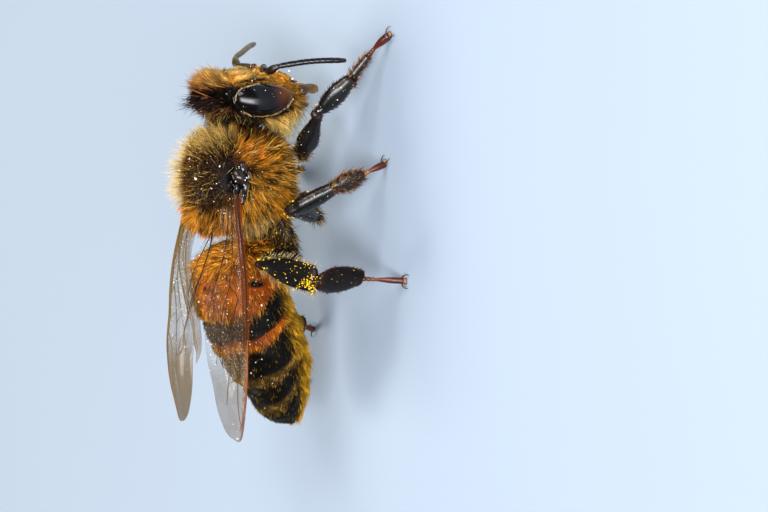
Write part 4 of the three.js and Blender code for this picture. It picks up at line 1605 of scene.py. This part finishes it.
def strand_mesh(name, strands):
    """One joined mesh of all these strands, with their colours and the map called OFBake."""
    paths = strands["paths"]
    count, knots = paths.shape[:2]
    steps = knots - 1
    along = unit(np.gradient(paths, axis=1))
    guide = np.where(np.abs(along[:, :1, 2:]) < 0.8, np.array([[[0, 0, 1.0]]]), np.array([[[1.0, 0, 0]]]))
    side = unit(np.cross(along, guide))
    other = np.cross(along, side)
    share = np.linspace(0, 1, knots)
    radius = strands["width"][:, None] / 2 * (1 - 0.75 * share[None, :-1] ** 1.3)
    turns = np.arange(STRAND_SIDES) * 2 * math.pi / STRAND_SIDES
    turns = turns[None, None, :, None]
    spread = np.cos(turns) * side[:, :-1, None] + np.sin(turns) * other[:, :-1, None]
    rings = paths[:, :-1, None] + radius[:, :, None, None] * spread
    verts = np.concatenate([rings.reshape(count, -1, 3), paths[:, -1:]], axis=1)
    per_strand = verts.shape[1]
    faces = strand_faces(steps)
    loops = (faces[None] + (np.arange(count) * per_strand)[:, None, None]).ravel()

    mesh = bpy.data.meshes.new(name)
    mesh.vertices.add(count * per_strand)
    mesh.vertices.foreach_set("co", (verts * MM).ravel())
    mesh.loops.add(len(loops))
    mesh.loops.foreach_set("vertex_index", loops)
    mesh.polygons.add(len(loops) // 3)
    mesh.polygons.foreach_set("loop_start", np.arange(0, len(loops), 3))
    mesh.update(calc_edges=True)

    # Each strand fades from its root colour, which carries painted shade near the skin, to its tip colour.
    at = np.append(np.repeat(share[:-1], STRAND_SIDES), 1.0)[None, :, None]
    ripe = at ** strands["ripen"][:, None, None]
    carry(mesh, strands["shaded_root_tint"][:, None] * (1 - ripe) + strands["tip_tint"][:, None] * ripe)

    across = np.append(np.tile([-0.5, 0.5, 0.0], steps), 0.0)
    patch = np.column_stack([across, at[0, :, 0] - 0.5]) * PATCH
    uv = strands["uv"][:, None] * (1 - 2 * PATCH) + PATCH + patch[None]
    layer = mesh.uv_layers.new(name="OFBake")
    layer.data.foreach_set("uv", uv.reshape(-1, 2)[loops].ravel())
    mesh.materials.append(hair_finish)
    return mesh


def lay_coat(name, strands, slot):
    """Lays strands on the bee in as many pieces as the limit on faces asks for."""
    faces_each = len(strand_faces(strands["paths"].shape[1] - 1))
    count = len(strands["paths"])
    pieces = math.ceil(count * faces_each / COAT_LIMIT)
    for number in range(pieces):
        part = {key: value[number::pieces] for key, value in strands.items()}
        label = f"{name}_{number + 1}" if pieces > 1 else name
        register(label, strand_mesh(label, part), slot)
    print(f"{name}: {count} hairs")


# %% [markdown]
# ## Thorax coat
# Short upright hairs stand thinly on the dark dome of the back, with longer pale ones among them. A
# tan collar lies before it and a redder bar behind it; just behind the head the hair is darkened
# with painted shade. Golden hair sweeps out and down from below each wing hinge. Its tips are pale
# along the belly, partly their own colour and partly painted light from below.

# %% Thorax coat
HAIR_WIDTH = 0.025
GUARD_WIDTH = 0.016
BLACK_HAIR = tint(12, 9, 8)
BROWN_HAIR = tint(84, 46, 18)
GOLD_HAIR = tint(248, 158, 24)
ORANGE_HAIR = tint(250, 138, 16)
CREAM_HAIR = tint(255, 226, 122)
TAN_HAIR = tint(222, 184, 112)
PALE_HAIR = tint(250, 226, 164)
OLIVE_HAIR = tint(196, 152, 36)


def streaked(tips, rng, dark_share, bright_share):
    """Makes some tips much darker and some much paler, as in a weathered coat."""
    draw = rng.random(len(tips))[:, None]
    tips = np.where(draw < np.reshape(dark_share, (-1, 1)), tips * 0.15, tips)
    return np.where(draw > 1 - bright_share, tips * 0.4 + CREAM_HAIR * 0.6, tips)


def thorax_look(roots, rng):
    """Short and upright on the disc of the back, longer and lying down on the flanks."""
    marks = thorax_marks(roots)
    local = roots - np.array(MIDDLE)
    mirrored = np.column_stack([local[:, 0], np.abs(local[:, 1]), local[:, 2]])
    disc, bar, collar, tuft, front = (marks[name] for name in ("disc", "bar", "collar", "tuft", "front"))
    bare = np.maximum(marks["hinge"], marks["gap"])
    from_hinge = mirrored - HINGE
    lie = np.column_stack([from_hinge[:, 0], from_hinge[:, 1] * np.sign(local[:, 1]), from_hinge[:, 2]])
    lie = mix(unit(lie) + np.array([-0.35, 0, -0.3]), np.array([-1.0, 0, 0.25]), ramp(local[:, 2], 0.6, 1.2))
    length = layered(
        0.78, (0.19, disc), (0.70, collar), (0.62, bar), (0.40, tuft), (0.46, marks["belly"]), (0.50, front),
    )
    # Root colours: the hair's own colour darkened with painted shade under the coat.
    shaded_root_tint = layered(
        tint(44, 22, 8), (tint(14, 9, 7), disc), (tint(96, 54, 12), bar), (tint(130, 60, 10), tuft),
        (tint(58, 40, 22), collar * 0.8),
    )
    tip_tint = layered(
        GOLD_HAIR, (tint(188, 124, 54), disc), (TAN_HAIR, collar * 0.75), (tint(240, 158, 44), bar),
        # Tips low on the thorax are paler: partly the hair's own colour, partly painted light from below.
        (ORANGE_HAIR, tuft), (CREAM_HAIR, ramp(-local[:, 2], 0.9, 1.8) * 0.7),
        # Tips just behind the head are darkened: painted shade between head and thorax.
        (PALE_HAIR, marks["rear"] * 0.8), (tint(58, 37, 16), front * 0.9),
    )
    tip_tint = streaked(tip_tint, rng, 0.14 + 0.16 * disc, 0.08)
    shade = np.exp(rng.normal(0, 0.24, len(roots)))[:, None]
    return dict(
        thick=layered(0.90, (0.60, disc), (0.62, collar * disc), (0.7, bar), (0.02, bare)),
        length=length * (1 - 0.6 * bare),
        stand=layered(0.34, (0.90, disc), (0.74, collar), (0.66, bar), (0.80, front)),
        lie=lie, curl=mix(0.35, 0.1, disc), sway=mix(0.36, 0.12, disc), frizz=mix(0.09, 0.26, disc),
        locks=0.035, gather=mix(0.66, 0.0, disc), tone=mix(0.30, 0.15, disc), gap_shade=mix(0.80, 0.3, disc),
        ripen=mix(1.7, 4.5, disc * (1 - collar)), width=mix(HAIR_WIDTH, GUARD_WIDTH, disc),
        shaded_root_tint=shaded_root_tint * shade, tip_tint=tip_tint * shade,
    )


def loose_look(length, stand, lie, shaded_root_tint, tip_tint, thick, width=GUARD_WIDTH, bend=0.3, ripen=1.0):
    """Single hairs that stand out beyond a coat."""
    return dict(
        thick=thick, length=length, stand=stand, lie=lie, curl=bend, sway=bend, frizz=0.16,
        locks=0.5, gather=0.1, tone=0.2, gap_shade=0.0, ripen=ripen, width=width,
        shaded_root_tint=shaded_root_tint, tip_tint=tip_tint,
    )


roots, normals, rng = scatter(thorax, 980, seed=11)
uv = unwrapped(roots, np.array(MIDDLE), SKIN_HALF)
thorax_strands = comb(roots, normals, uv, thorax_look(roots, rng), rng)

roots, normals, rng = scatter(thorax, 190, seed=13)
uv = unwrapped(roots, np.array(MIDDLE), SKIN_HALF)
marks = thorax_marks(roots)
disc = marks["disc"]
guard_length = mix(0.74, 0.68, disc) * (1 - 0.3 * marks["belly"])
guard_thick = mix(0.42, 1.0, disc) * (1 - marks["hinge"]) * (1 - marks["gap"]) * (1 - 0.9 * marks["front"])
inner = disc * (1 - marks["collar"]) * ramp(MIDDLE.y - roots[:, 1], -0.55, -0.25)
guard_thick = guard_thick * (1 - 0.94 * inner)
guard_tip = layered(tint(250, 200, 100), (tint(255, 214, 100), disc), (tint(250, 160, 50), marks["bar"]))
stand, bend, ripen = mix(0.82, 0.97, disc), mix(0.3, 0.05, disc), mix(1.0, 1.3, disc)
look = loose_look(guard_length, stand, (-0.6, 0, -0.1), BROWN_HAIR, guard_tip, guard_thick,
                  bend=bend, ripen=ripen)
lay_coat("thorax_coat", joined([thorax_strands, comb(roots, normals, uv, look, rng)]), "thorax_coat")


# %% [markdown]
# ## Head coat
# The crown and the face wear dense orange-gold hair. Black bristles stand along the top ridge and a
# black patch surrounds the upper and hinder rim of each eye. Below and behind the jaw hangs a golden
# beard. The hairs are smallest on the shield of the face.

# %% Head coat
HEAD_HALF = np.array([0.75, HEAD_HALF_WIDTH, (CROWN + CHIN) / 2])


def head_roots(per_mm2, seed):
    """Roots on the head, and their places on its unwrap."""
    roots, normals, rng = scatter(head, per_mm2, seed)
    return roots, normals, rng, unwrapped(roots, HEAD_MIDDLE, HEAD_HALF, pole=2)


def head_look(roots, rng):
    """Upright on the crown, short on the face, black round the eye, and long in the beard."""
    marks = head_marks(roots)
    crown, nape, beard, shield, low = (marks[name] for name in ("crown", "nape", "beard", "shield", "low"))
    local = roots - HEAD_MIDDLE
    height = local[:, 2]
    eye_away = np.column_stack([local[:, 0], np.abs(local[:, 1]) - EYE_OUT, height]) / EYE_HALF
    eye_away = np.linalg.norm(eye_away, axis=1)
    near_eye = 1 - ramp(eye_away, 1.02, 1.35)
    behind = 1 - ramp(local[:, 0], -0.25, 0.0)
    wider = behind * ramp(height, -0.7, -0.2) * (1 - ramp(height, 0.6, 1.0))
    orbit = 1 - ramp(eye_away - 0.35 * wider, 1.22, 1.60)
    upper = np.maximum(ramp(height, -0.9, -0.1), 1 - ramp(local[:, 0], -0.2, 0.1))
    black = np.clip(np.maximum(marks["temple"], marks["cheek"]), 0, 1)
    black = np.maximum(black, orbit * upper)
    under = behind * (1 - ramp(eye_away, 1.25, 1.55)) * ramp(height, -1.0, -0.6)
    black = black * (1 - 0.9 * beard * (1 - under))
    face = marks["face"] * (1 - crown)
    lie = np.column_stack([local[:, 0] * 0.6, local[:, 1] * 0.5, height * 0.4])
    lie = layered(
        lie + np.array([0.1, 0, -0.5]), (np.array([0.45, 0, 1.0]), crown * (1 - nape)),
        (np.array([-1.0, 0, -0.3]), beard), (np.array([-1.0, 0, 0.3]), nape * ramp(height, -0.4, 0.4)),
    )
    length = layered(
        0.40, (0.58, crown), (0.15 + 0.26 * ramp(height, -0.3, 0.7), face), (0.10, shield), (1.45, beard),
        (0.74, nape * (1 - beard)),
        (0.28 + 0.20 * behind, black * (1 - 0.6 * marks["ridge"]) * (1 - 0.6 * nape)),
    )
    thick = layered(0.95, (0.84, face), (0.35, shield)) * (1 - 0.4 * near_eye)
    # Root colours: the hair's own colour darkened with painted shade under the coat.
    shaded_root_tint = layered(
        tint(60, 28, 10), (tint(206, 146, 60), marks["face"]),
        (tint(186, 112, 16), low * (1 - 0.5 * marks["face"])),
        (tint(20, 12, 6), nape * (1 - 0.5 * low)), (tint(240, 178, 74), beard), (BLACK_HAIR, black),
    )
    nape_tip = mix(tint(28, 18, 11), tint(184, 132, 62), ramp(height, 1.0, 1.35))
    top = crown * ramp(height, 0.9, 1.5)
    # Low on the head, roots and tips are a saturated yellow: partly the hair's gold, partly painted yellow
    # light from below.
    tip_tint = layered(
        tint(148, 98, 46), (tint(236, 192, 108), marks["face"]), (tint(124, 74, 32), top * 0.85),
        (tint(255, 176, 22), low), (nape_tip, np.clip(nape * 1.8, 0, 0.94) * (1 - low)),
        (tint(255, 234, 146), beard),
    )
    tip_tint = streaked(tip_tint, rng, 0.14 * (1 - 0.85 * nape), 0.10)
    golden = (rng.random(len(roots)) < 0.07) * ramp(-local[:, 0], -0.1, 0.3) * ramp(height, 0.1, 0.5)
    tip_tint = mix(tip_tint, tint(22, 15, 11), black * (1 - golden))
    shade = np.exp(rng.normal(0, 0.24, len(roots)))[:, None]
    return dict(
        thick=layered(thick, (1.0, beard), (0.7, black)),
        length=length * (1 - 0.5 * near_eye * (1 - behind)),
        stand=layered(0.55, (0.85, crown), (0.30, face)),
        lie=lie, curl=mix(0.25, 0.1, crown), sway=0.24, frizz=0.12, locks=0.04, gather=mix(0.5, 0.56, crown),
        tone=0.28, gap_shade=mix(0.7, 0.5, marks["face"]), ripen=1.6, width=mix(0.024, 0.018, marks["face"]),
        shaded_root_tint=shaded_root_tint * shade, tip_tint=tip_tint * shade,
    )


roots, normals, rng, uv = head_roots(860, seed=23)
head_strands = comb(roots, normals, uv, head_look(roots, rng), rng)

roots, normals, rng, uv = head_roots(70, seed=25)
marks = head_marks(roots)
guard_length = mix(0.5, 0.85, np.maximum(marks["crown"], marks["beard"]))
guard_thick = (1 - marks["face"] * (1 - marks["crown"])) * (1 - 0.85 * marks["temple"])
guard_thick = guard_thick * (1 - 0.9 * marks["cheek"]) * (1 - 0.93 * marks["nape"])
lie = mix(np.array([-0.8, 0, -0.3]), np.array([0.3, 0, 1.0]), marks["crown"])
guard_tip = mix(tint(214, 168, 84), tint(126, 82, 42), ramp(roots[:, 2] - HEAD_MIDDLE[2], 0.9, 1.5))
look = loose_look(guard_length, 0.7, lie, tint(150, 80, 24), guard_tip, guard_thick)
lay_coat("head_coat", joined([head_strands, comb(roots, normals, uv, look, rng)]), "head_coat")


# %% [markdown]
# Long black bristles stand well above the shorter hair on the ridge of the crown.

# %% Crown bristles
roots, normals, rng, uv = head_roots(150, seed=29)
marks = head_marks(roots)
local = roots - HEAD_MIDDLE
lie = np.column_stack([local[:, 0] * 1.5 - 0.25, local[:, 1] * 0.5, local[:, 2]])
bristle_length = mix(0.45, 1.0, marks["ridge"])
bristle_thick = marks["ridge"] * 0.75 + marks["temple"] * 0.12
look = loose_look(bristle_length, 0.8, lie, BLACK_HAIR, tint(34, 22, 20), bristle_thick, width=0.026)
lay_coat("crown_bristles", comb(roots, normals, uv, look, rng), "head_coat")


# %% [markdown]
# A row of short pale hairs lies end to end round each eye, where the coat stops at its edge. From
# the side they read as a thin broken line of light.

# %% Eye lashes
LASHES = 150
LASH_LENGTH = 0.17
LASH_WIDTH = 0.011
# Each arc runs from one turn to another, in radians, at a share of the eye's own reach.
LASH_ARCS = ((0.1, 1.6, 1.12), (2.2, 4.5, 1.15))

lash_sets = []
for side in (-1, 1):
    rng = np.random.default_rng(61 + side)
    arc = np.array(LASH_ARCS)[rng.integers(0, 2, LASHES)]
    turn = arc[:, 0] + (arc[:, 1] - arc[:, 0]) * rng.random(LASHES)
    ball = np.column_stack([np.cos(turn), np.full(LASHES, side * 0.50), np.sin(turn)])
    roots = eye_shape(ball, side)
    middle = roots.mean(axis=0)
    roots = middle + (roots - middle) * arc[:, 2:] ** (1, 0, 0.6) + rng.normal(size=(LASHES, 3)) * 0.007
    normals = unit((roots - middle) * (1, 0, 1) + np.array([0, side * 0.4, 0]))
    tangent = np.column_stack([-np.sin(turn), np.full(LASHES, side * 0.15), np.cos(turn)])
    uv = unwrapped(roots, HEAD_MIDDLE, HEAD_HALF, pole=2)
    look = loose_look(LASH_LENGTH, 0.08, tangent, tint(120, 84, 44), tint(236, 210, 150), 1.0, LASH_WIDTH)
    lash_sets.append(comb(roots, normals, uv, look, rng))
lay_coat("eye_lashes", joined(lash_sets), "head_coat")


# %% [markdown]
# ## Abdomen coat
# The first two rings wear soft golden hair that points to the tail. Behind them the hair is short
# and thin over the black, dense and pale on the bands of felt, and longer and yellow along the
# belly, where it makes a fringe.

# %% Abdomen coat
def abdomen_look(roots, rng):
    """Soft on the first rings, thin over the black, dense on the felt, and a fringe below."""
    marks = abdomen_marks(roots)
    share, felt, below, amber = (marks[name] for name in ("share", "felt", "below", "amber"))
    front = 1 - ramp(share, 0.33, 0.40)
    first = 1 - ramp(share, 0.10, 0.17)
    warm = np.maximum(front, amber)
    black = 1 - np.maximum(warm, np.maximum(felt, below))
    lie = np.column_stack([np.full(len(roots), -1.0), np.zeros(len(roots)), -0.35 * below - 0.1])
    thick = layered(
        0.15, (0.36, front), (0.60, amber * (1 - front)), (0.68, felt), (0.85, first), (0.70, below),
    )
    # Root colours: the hair's own colour darkened with painted shade under the coat.
    shaded_root_tint = layered(
        tint(14, 9, 6), (tint(120, 54, 12), warm), (tint(60, 42, 16), felt), (tint(104, 60, 12), below),
    )
    tip_tint = layered(
        OLIVE_HAIR, (tint(255, 172, 48), warm), (tint(200, 152, 64), felt), (tint(255, 192, 40), below),
    )
    tip_tint = streaked(tip_tint, rng, 0.10 + 0.55 * black, 0.05)
    shade = np.exp(rng.normal(0, 0.25, len(roots)))[:, None]
    return dict(
        thick=thick * (1 - marks["notch"]),
        length=layered(0.18, (0.24, amber), (0.30, front), (0.60, first), (0.19, felt), (0.40, below)),
        stand=layered(0.30, (0.22, felt), (0.34, below)),
        lie=lie, curl=0.35, sway=0.28, frizz=0.14, locks=0.08, gather=0.45, tone=0.25, gap_shade=0.6, ripen=1.4,
        width=mix(0.018, 0.023, front), shaded_root_tint=shaded_root_tint * shade, tip_tint=tip_tint * shade,
    )


roots, normals, rng = scatter(abdomen, 620, seed=37)
aside = roots[:, 1] - abdomen_outline(roots[:, 0], 1)
height = roots[:, 2] - abdomen_outline(roots[:, 0], 2)
turn = np.arctan2(height, aside) / (2 * math.pi) + 0.5
uv = np.clip(np.column_stack([turn, (roots[:, 0] - abdomen_low.x) / ABDOMEN_LONG]), 0, 1)
abdomen_strands = comb(roots, normals, uv, abdomen_look(roots, rng), rng, steps=2)
lay_coat("abdomen_coat", abdomen_strands, "abdomen_banded")


# %% [markdown]
# ## Leg coat
# Thighs wear loose golden-brown hair, shins are nearly bare on their faces, and the heels bristle
# with short red-brown spines. The hind shin keeps a fringe of long pale hairs along its edges, the
# fence of the pollen basket. To know where a root stands, it is measured along and across the limb
# that it is nearest to.

# %% Which limb a root stands on
PART_NUMBER = {"hip": 0, "thigh": 1, "shin": 2, "heel": 3}


def limb_places(roots, normals, limbs):
    """For each root: its limb, the share along it, how far the skin faces a broad edge, and the turn."""
    away = []
    for limb in limbs:
        local = roots - limb["start"]
        reach = np.clip(local @ limb["along"], 0, limb["long"])
        away.append(np.linalg.norm(local - reach[:, None] * limb["along"], axis=1))
    chosen = np.argmin(away, axis=0)
    keys = ("start", "along", "broad", "long")
    frames = {key: np.array([limb[key] for limb in limbs])[chosen] for key in keys}
    local = roots - frames["start"]
    share = (local * frames["along"]).sum(axis=1) / frames["long"]
    edge = (normals * frames["broad"]).sum(axis=1)
    turn = np.arctan2((local * np.cross(frames["along"], frames["broad"])).sum(axis=1),
                      (local * frames["broad"]).sum(axis=1)) / (2 * math.pi) + 0.5
    return chosen, share, edge, turn, frames


# %% Leg coat
def leg_look(roots, normals, rng, limbs):
    """The look of the hairs on some limbs, and the roots' places on their unwrap."""
    count = len(roots)
    chosen, share, edge, turn, frames = limb_places(roots, normals, limbs)
    part = np.array([PART_NUMBER[limb["part"]] for limb in limbs])[chosen]
    hind = np.array([limb["row"] == "hind" for limb in limbs])[chosen]
    rim = ramp(np.abs(edge), 0.6, 0.9)
    is_hip, is_thigh, is_shin, is_heel = (part == number for number in range(4))
    fringe = is_shin & hind
    heel_length = np.where(hind, 0.09 + 0.06 * rim, 0.16 + 0.12 * rim)
    heel_thick = np.where(hind, 0.05, 0.36) + 0.4 * rim
    places = [is_hip, is_thigh, fringe, is_shin, is_heel]
    # Root colours: the hair's own colour darkened with painted shade under the coat.
    shaded_root_tint = mix(BLACK_HAIR, BROWN_HAIR, (is_heel | fringe) * 0.5)
    tip_tint = layered(
        tint(100, 70, 34), (tint(128, 62, 26), is_heel * 1.0), (tint(74, 48, 26), (is_shin & ~hind) * 1.0),
        (tint(40, 24, 12), (is_heel & hind) * (1 - 0.6 * rim)), (tint(232, 206, 150), fringe * 1.0),
    )
    golden = (rng.random(count) < 0.24) & (is_hip | is_thigh | (is_heel & ~hind))
    tip_tint = mix(tip_tint, tint(220, 176, 92), golden * 1.0)
    shade = np.exp(rng.normal(0, 0.25, count))[:, None]
    look = dict(
        thick=np.select(places, [0.9, 0.04 + 0.2 * rim, 0.75 * rim, 0.12 + 0.6 * rim, heel_thick]),
        length=np.select(places, [0.36, 0.15, 0.05 + 0.34 * rim, 0.10 + 0.10 * rim, heel_length]),
        stand=np.select([is_heel, fringe, is_thigh], [0.42, 0.6, 0.42], 0.35),
        lie=frames["along"] + frames["broad"] * edge[:, None] * 0.5,
        curl=np.where(fringe, 0.6, 0.3), sway=0.1, frizz=0.14, locks=0.2, gather=0.15, tone=0.2, gap_shade=0.0,
        ripen=1.5, width=np.where(is_heel, 0.020, 0.018),
        shaded_root_tint=shaded_root_tint * shade, tip_tint=tip_tint * shade,
    )
    tile = chosen % 4
    uv = np.column_stack([(turn + tile % 2) / 2, (np.clip(share, 0, 1) + tile // 2) / 2])
    return look, uv


leg_sets = []
for number, ((row, side), leg) in enumerate(LEGS.items()):
    upper = [leg["parts"][part] for part in ("hip", "thigh", "shin")]
    lower = [leg["parts"]["heel"]]
    for name, limbs, per_mm2 in ((f"leg_{row}_{side}", upper, 420), (f"heel_{row}_{side}", lower, 520)):
        roots, normals, rng = scatter(bpy.data.objects[name], per_mm2, seed=50 + number)
        look, uv = leg_look(roots, normals, rng, limbs)
        tile = np.array([number % 3, number // 3])
        leg_sets.append(comb(roots, normals, (np.clip(uv, 0, 1) + tile) / 3, look, rng, steps=2))
lay_coat("leg_coat", joined(leg_sets), "leg_shell")


# %% [markdown]
# ## Dust and pollen
# White specks lie on wings, head, thorax and abdomen, and yellow pollen clings to the legs. Each
# speck is a small eight-sided grain, scattered on the surface that it dusts in the same way as a
# hair's root, and all are joined from arrays.

# %% Grains
GRAIN_POINTS = np.array([[1, 0, 0], [-1, 0, 0], [0, 1, 0], [0, -1, 0], [0, 0, 1], [0, 0, -1]], dtype=float)
GRAIN_TOP = [[0, 2, 4], [2, 1, 4], [1, 3, 4], [3, 0, 4]]
GRAIN_BOTTOM = [[2, 0, 5], [1, 2, 5], [3, 1, 5], [0, 3, 5]]
GRAIN_FACES = np.array(GRAIN_TOP + GRAIN_BOTTOM)
SPECK_WHITE = tint(250, 246, 232)
POLLEN_YELLOW = tint(255, 208, 20)
POLLEN_GRAINS = {"fore": (24, 8), "mid": (60, 14), "hind": (520, 36)}


def grains_on(piece, count, colour, size, height, seed, where=None):
    """Places, sizes and colours of grains on a piece. where gives each root's chance to keep one."""
    roots, normals, rng = scatter(piece, 400, seed)
    chance = np.ones(len(roots)) if where is None else where(roots)
    chance = np.maximum(chance, 1e-9)
    chosen = rng.choice(len(roots), size=count, replace=False, p=chance / chance.sum())
    lift = rng.uniform(0.2, 1.0, count)[:, None] * height
    sizes = size * np.exp(rng.normal(0, 0.45, count))
    tints = colour * np.exp(rng.normal(0, 0.12, count))[:, None]
    return roots[chosen] + normals[chosen] * lift, sizes, tints


def grain_piece(name, grains, seed):
    """One joined mesh of grains, each squashed and turned its own way."""
    places, sizes, tints = (np.concatenate(values) for values in zip(*grains))
    rng = np.random.default_rng(seed)
    count = len(places)
    turn = np.linalg.qr(rng.normal(size=(count, 3, 3)))[0]
    turn *= np.sign(np.linalg.det(turn))[:, None, None]
    squash = rng.uniform(0.65, 1.25, (count, 1, 3))
    verts = np.einsum("nij,nkj->nki", turn, GRAIN_POINTS[None] * squash) * sizes[:, None, None]
    verts = verts + places[:, None]
    faces = (GRAIN_FACES[None] + (np.arange(count) * len(GRAIN_POINTS))[:, None, None]).reshape(-1, 3)
    mesh = bpy.data.meshes.new(name)
    mesh.from_pydata((verts.reshape(-1, 3) * MM).tolist(), [], faces.tolist())
    carry(mesh, np.repeat(tints, len(GRAIN_POINTS), axis=0))
    mesh.materials.append(grain_finish)
    register(name, mesh, "thorax_coat")


def near_top(roots):
    """More on the back than on the flanks."""
    return ramp(roots[:, 2], 3.0, 4.6)


def near_root(roots):
    """More at a wing's root than at its tip."""
    return 0.04 + ramp(roots[:, 0], -5.6, -3.0)


dust = [
    grains_on(thorax, 260, SPECK_WHITE, 0.013, 0.34, 71, near_top),
    grains_on(head, 240, SPECK_WHITE, 0.015, 0.22, 72),
    grains_on(abdomen, 340, SPECK_WHITE, 0.012, 0.10, 73, near_top),
]
for number, label in enumerate(("right", "left")):
    fore_film = bpy.data.objects[f"fore_wing_{label}"]
    hind_film = bpy.data.objects[f"hind_wing_{label}"]
    dust.append(grains_on(fore_film, 230, SPECK_WHITE, 0.010, 0.01, 74 + number, near_root))
    dust.append(grains_on(hind_film, 60, SPECK_WHITE, 0.010, 0.01, 76 + number, near_root))
    dust.append(grains_on(bpy.data.objects[f"eye_{label}_shell"], 26, SPECK_WHITE, 0.013, 0.005, 78 + number))
    dust.append(grains_on(bpy.data.objects[f"wing_hinge_{label}"], 30, SPECK_WHITE, 0.013, 0.01, 80 + number))

pollen = []
for number, ((row, side), leg) in enumerate(LEGS.items()):
    limb = leg["parts"]["shin"]
    low_end = limb["start"] + limb["along"] * limb["long"] * 0.9
    knee = limb["start"]

    def near_end(roots, low_end=low_end, knee=knee):
        """Most at the lower end of the shin, some at its upper end, in patches."""
        at_end = np.exp(-((np.linalg.norm(roots - low_end, axis=1) / 0.40) ** 2))
        at_knee = np.exp(-((np.linalg.norm(roots - knee - (0.2, 0, 0.2), axis=1) / 0.5) ** 2))
        return (at_end + 0.6 * at_knee) * ramp(drift(roots, 0.3, seed=6)[:, 0], -0.4, 0.5) + 0.01

    upper_leg = bpy.data.objects[f"leg_{row}_{side}"]
    heel = bpy.data.objects[f"heel_{row}_{side}"]
    on_leg, on_heel = POLLEN_GRAINS[row]
    pollen.append(grains_on(upper_leg, on_leg, POLLEN_YELLOW, 0.017, 0.10, 90 + number, near_end))
    pollen.append(grains_on(heel, on_heel, POLLEN_YELLOW, 0.014, 0.05, 100 + number))
    dust.append(grains_on(upper_leg, 40, SPECK_WHITE, 0.013, 0.01, 110 + number))

grain_piece("dust", dust, seed=121)
grain_piece("pollen", pollen, seed=122)
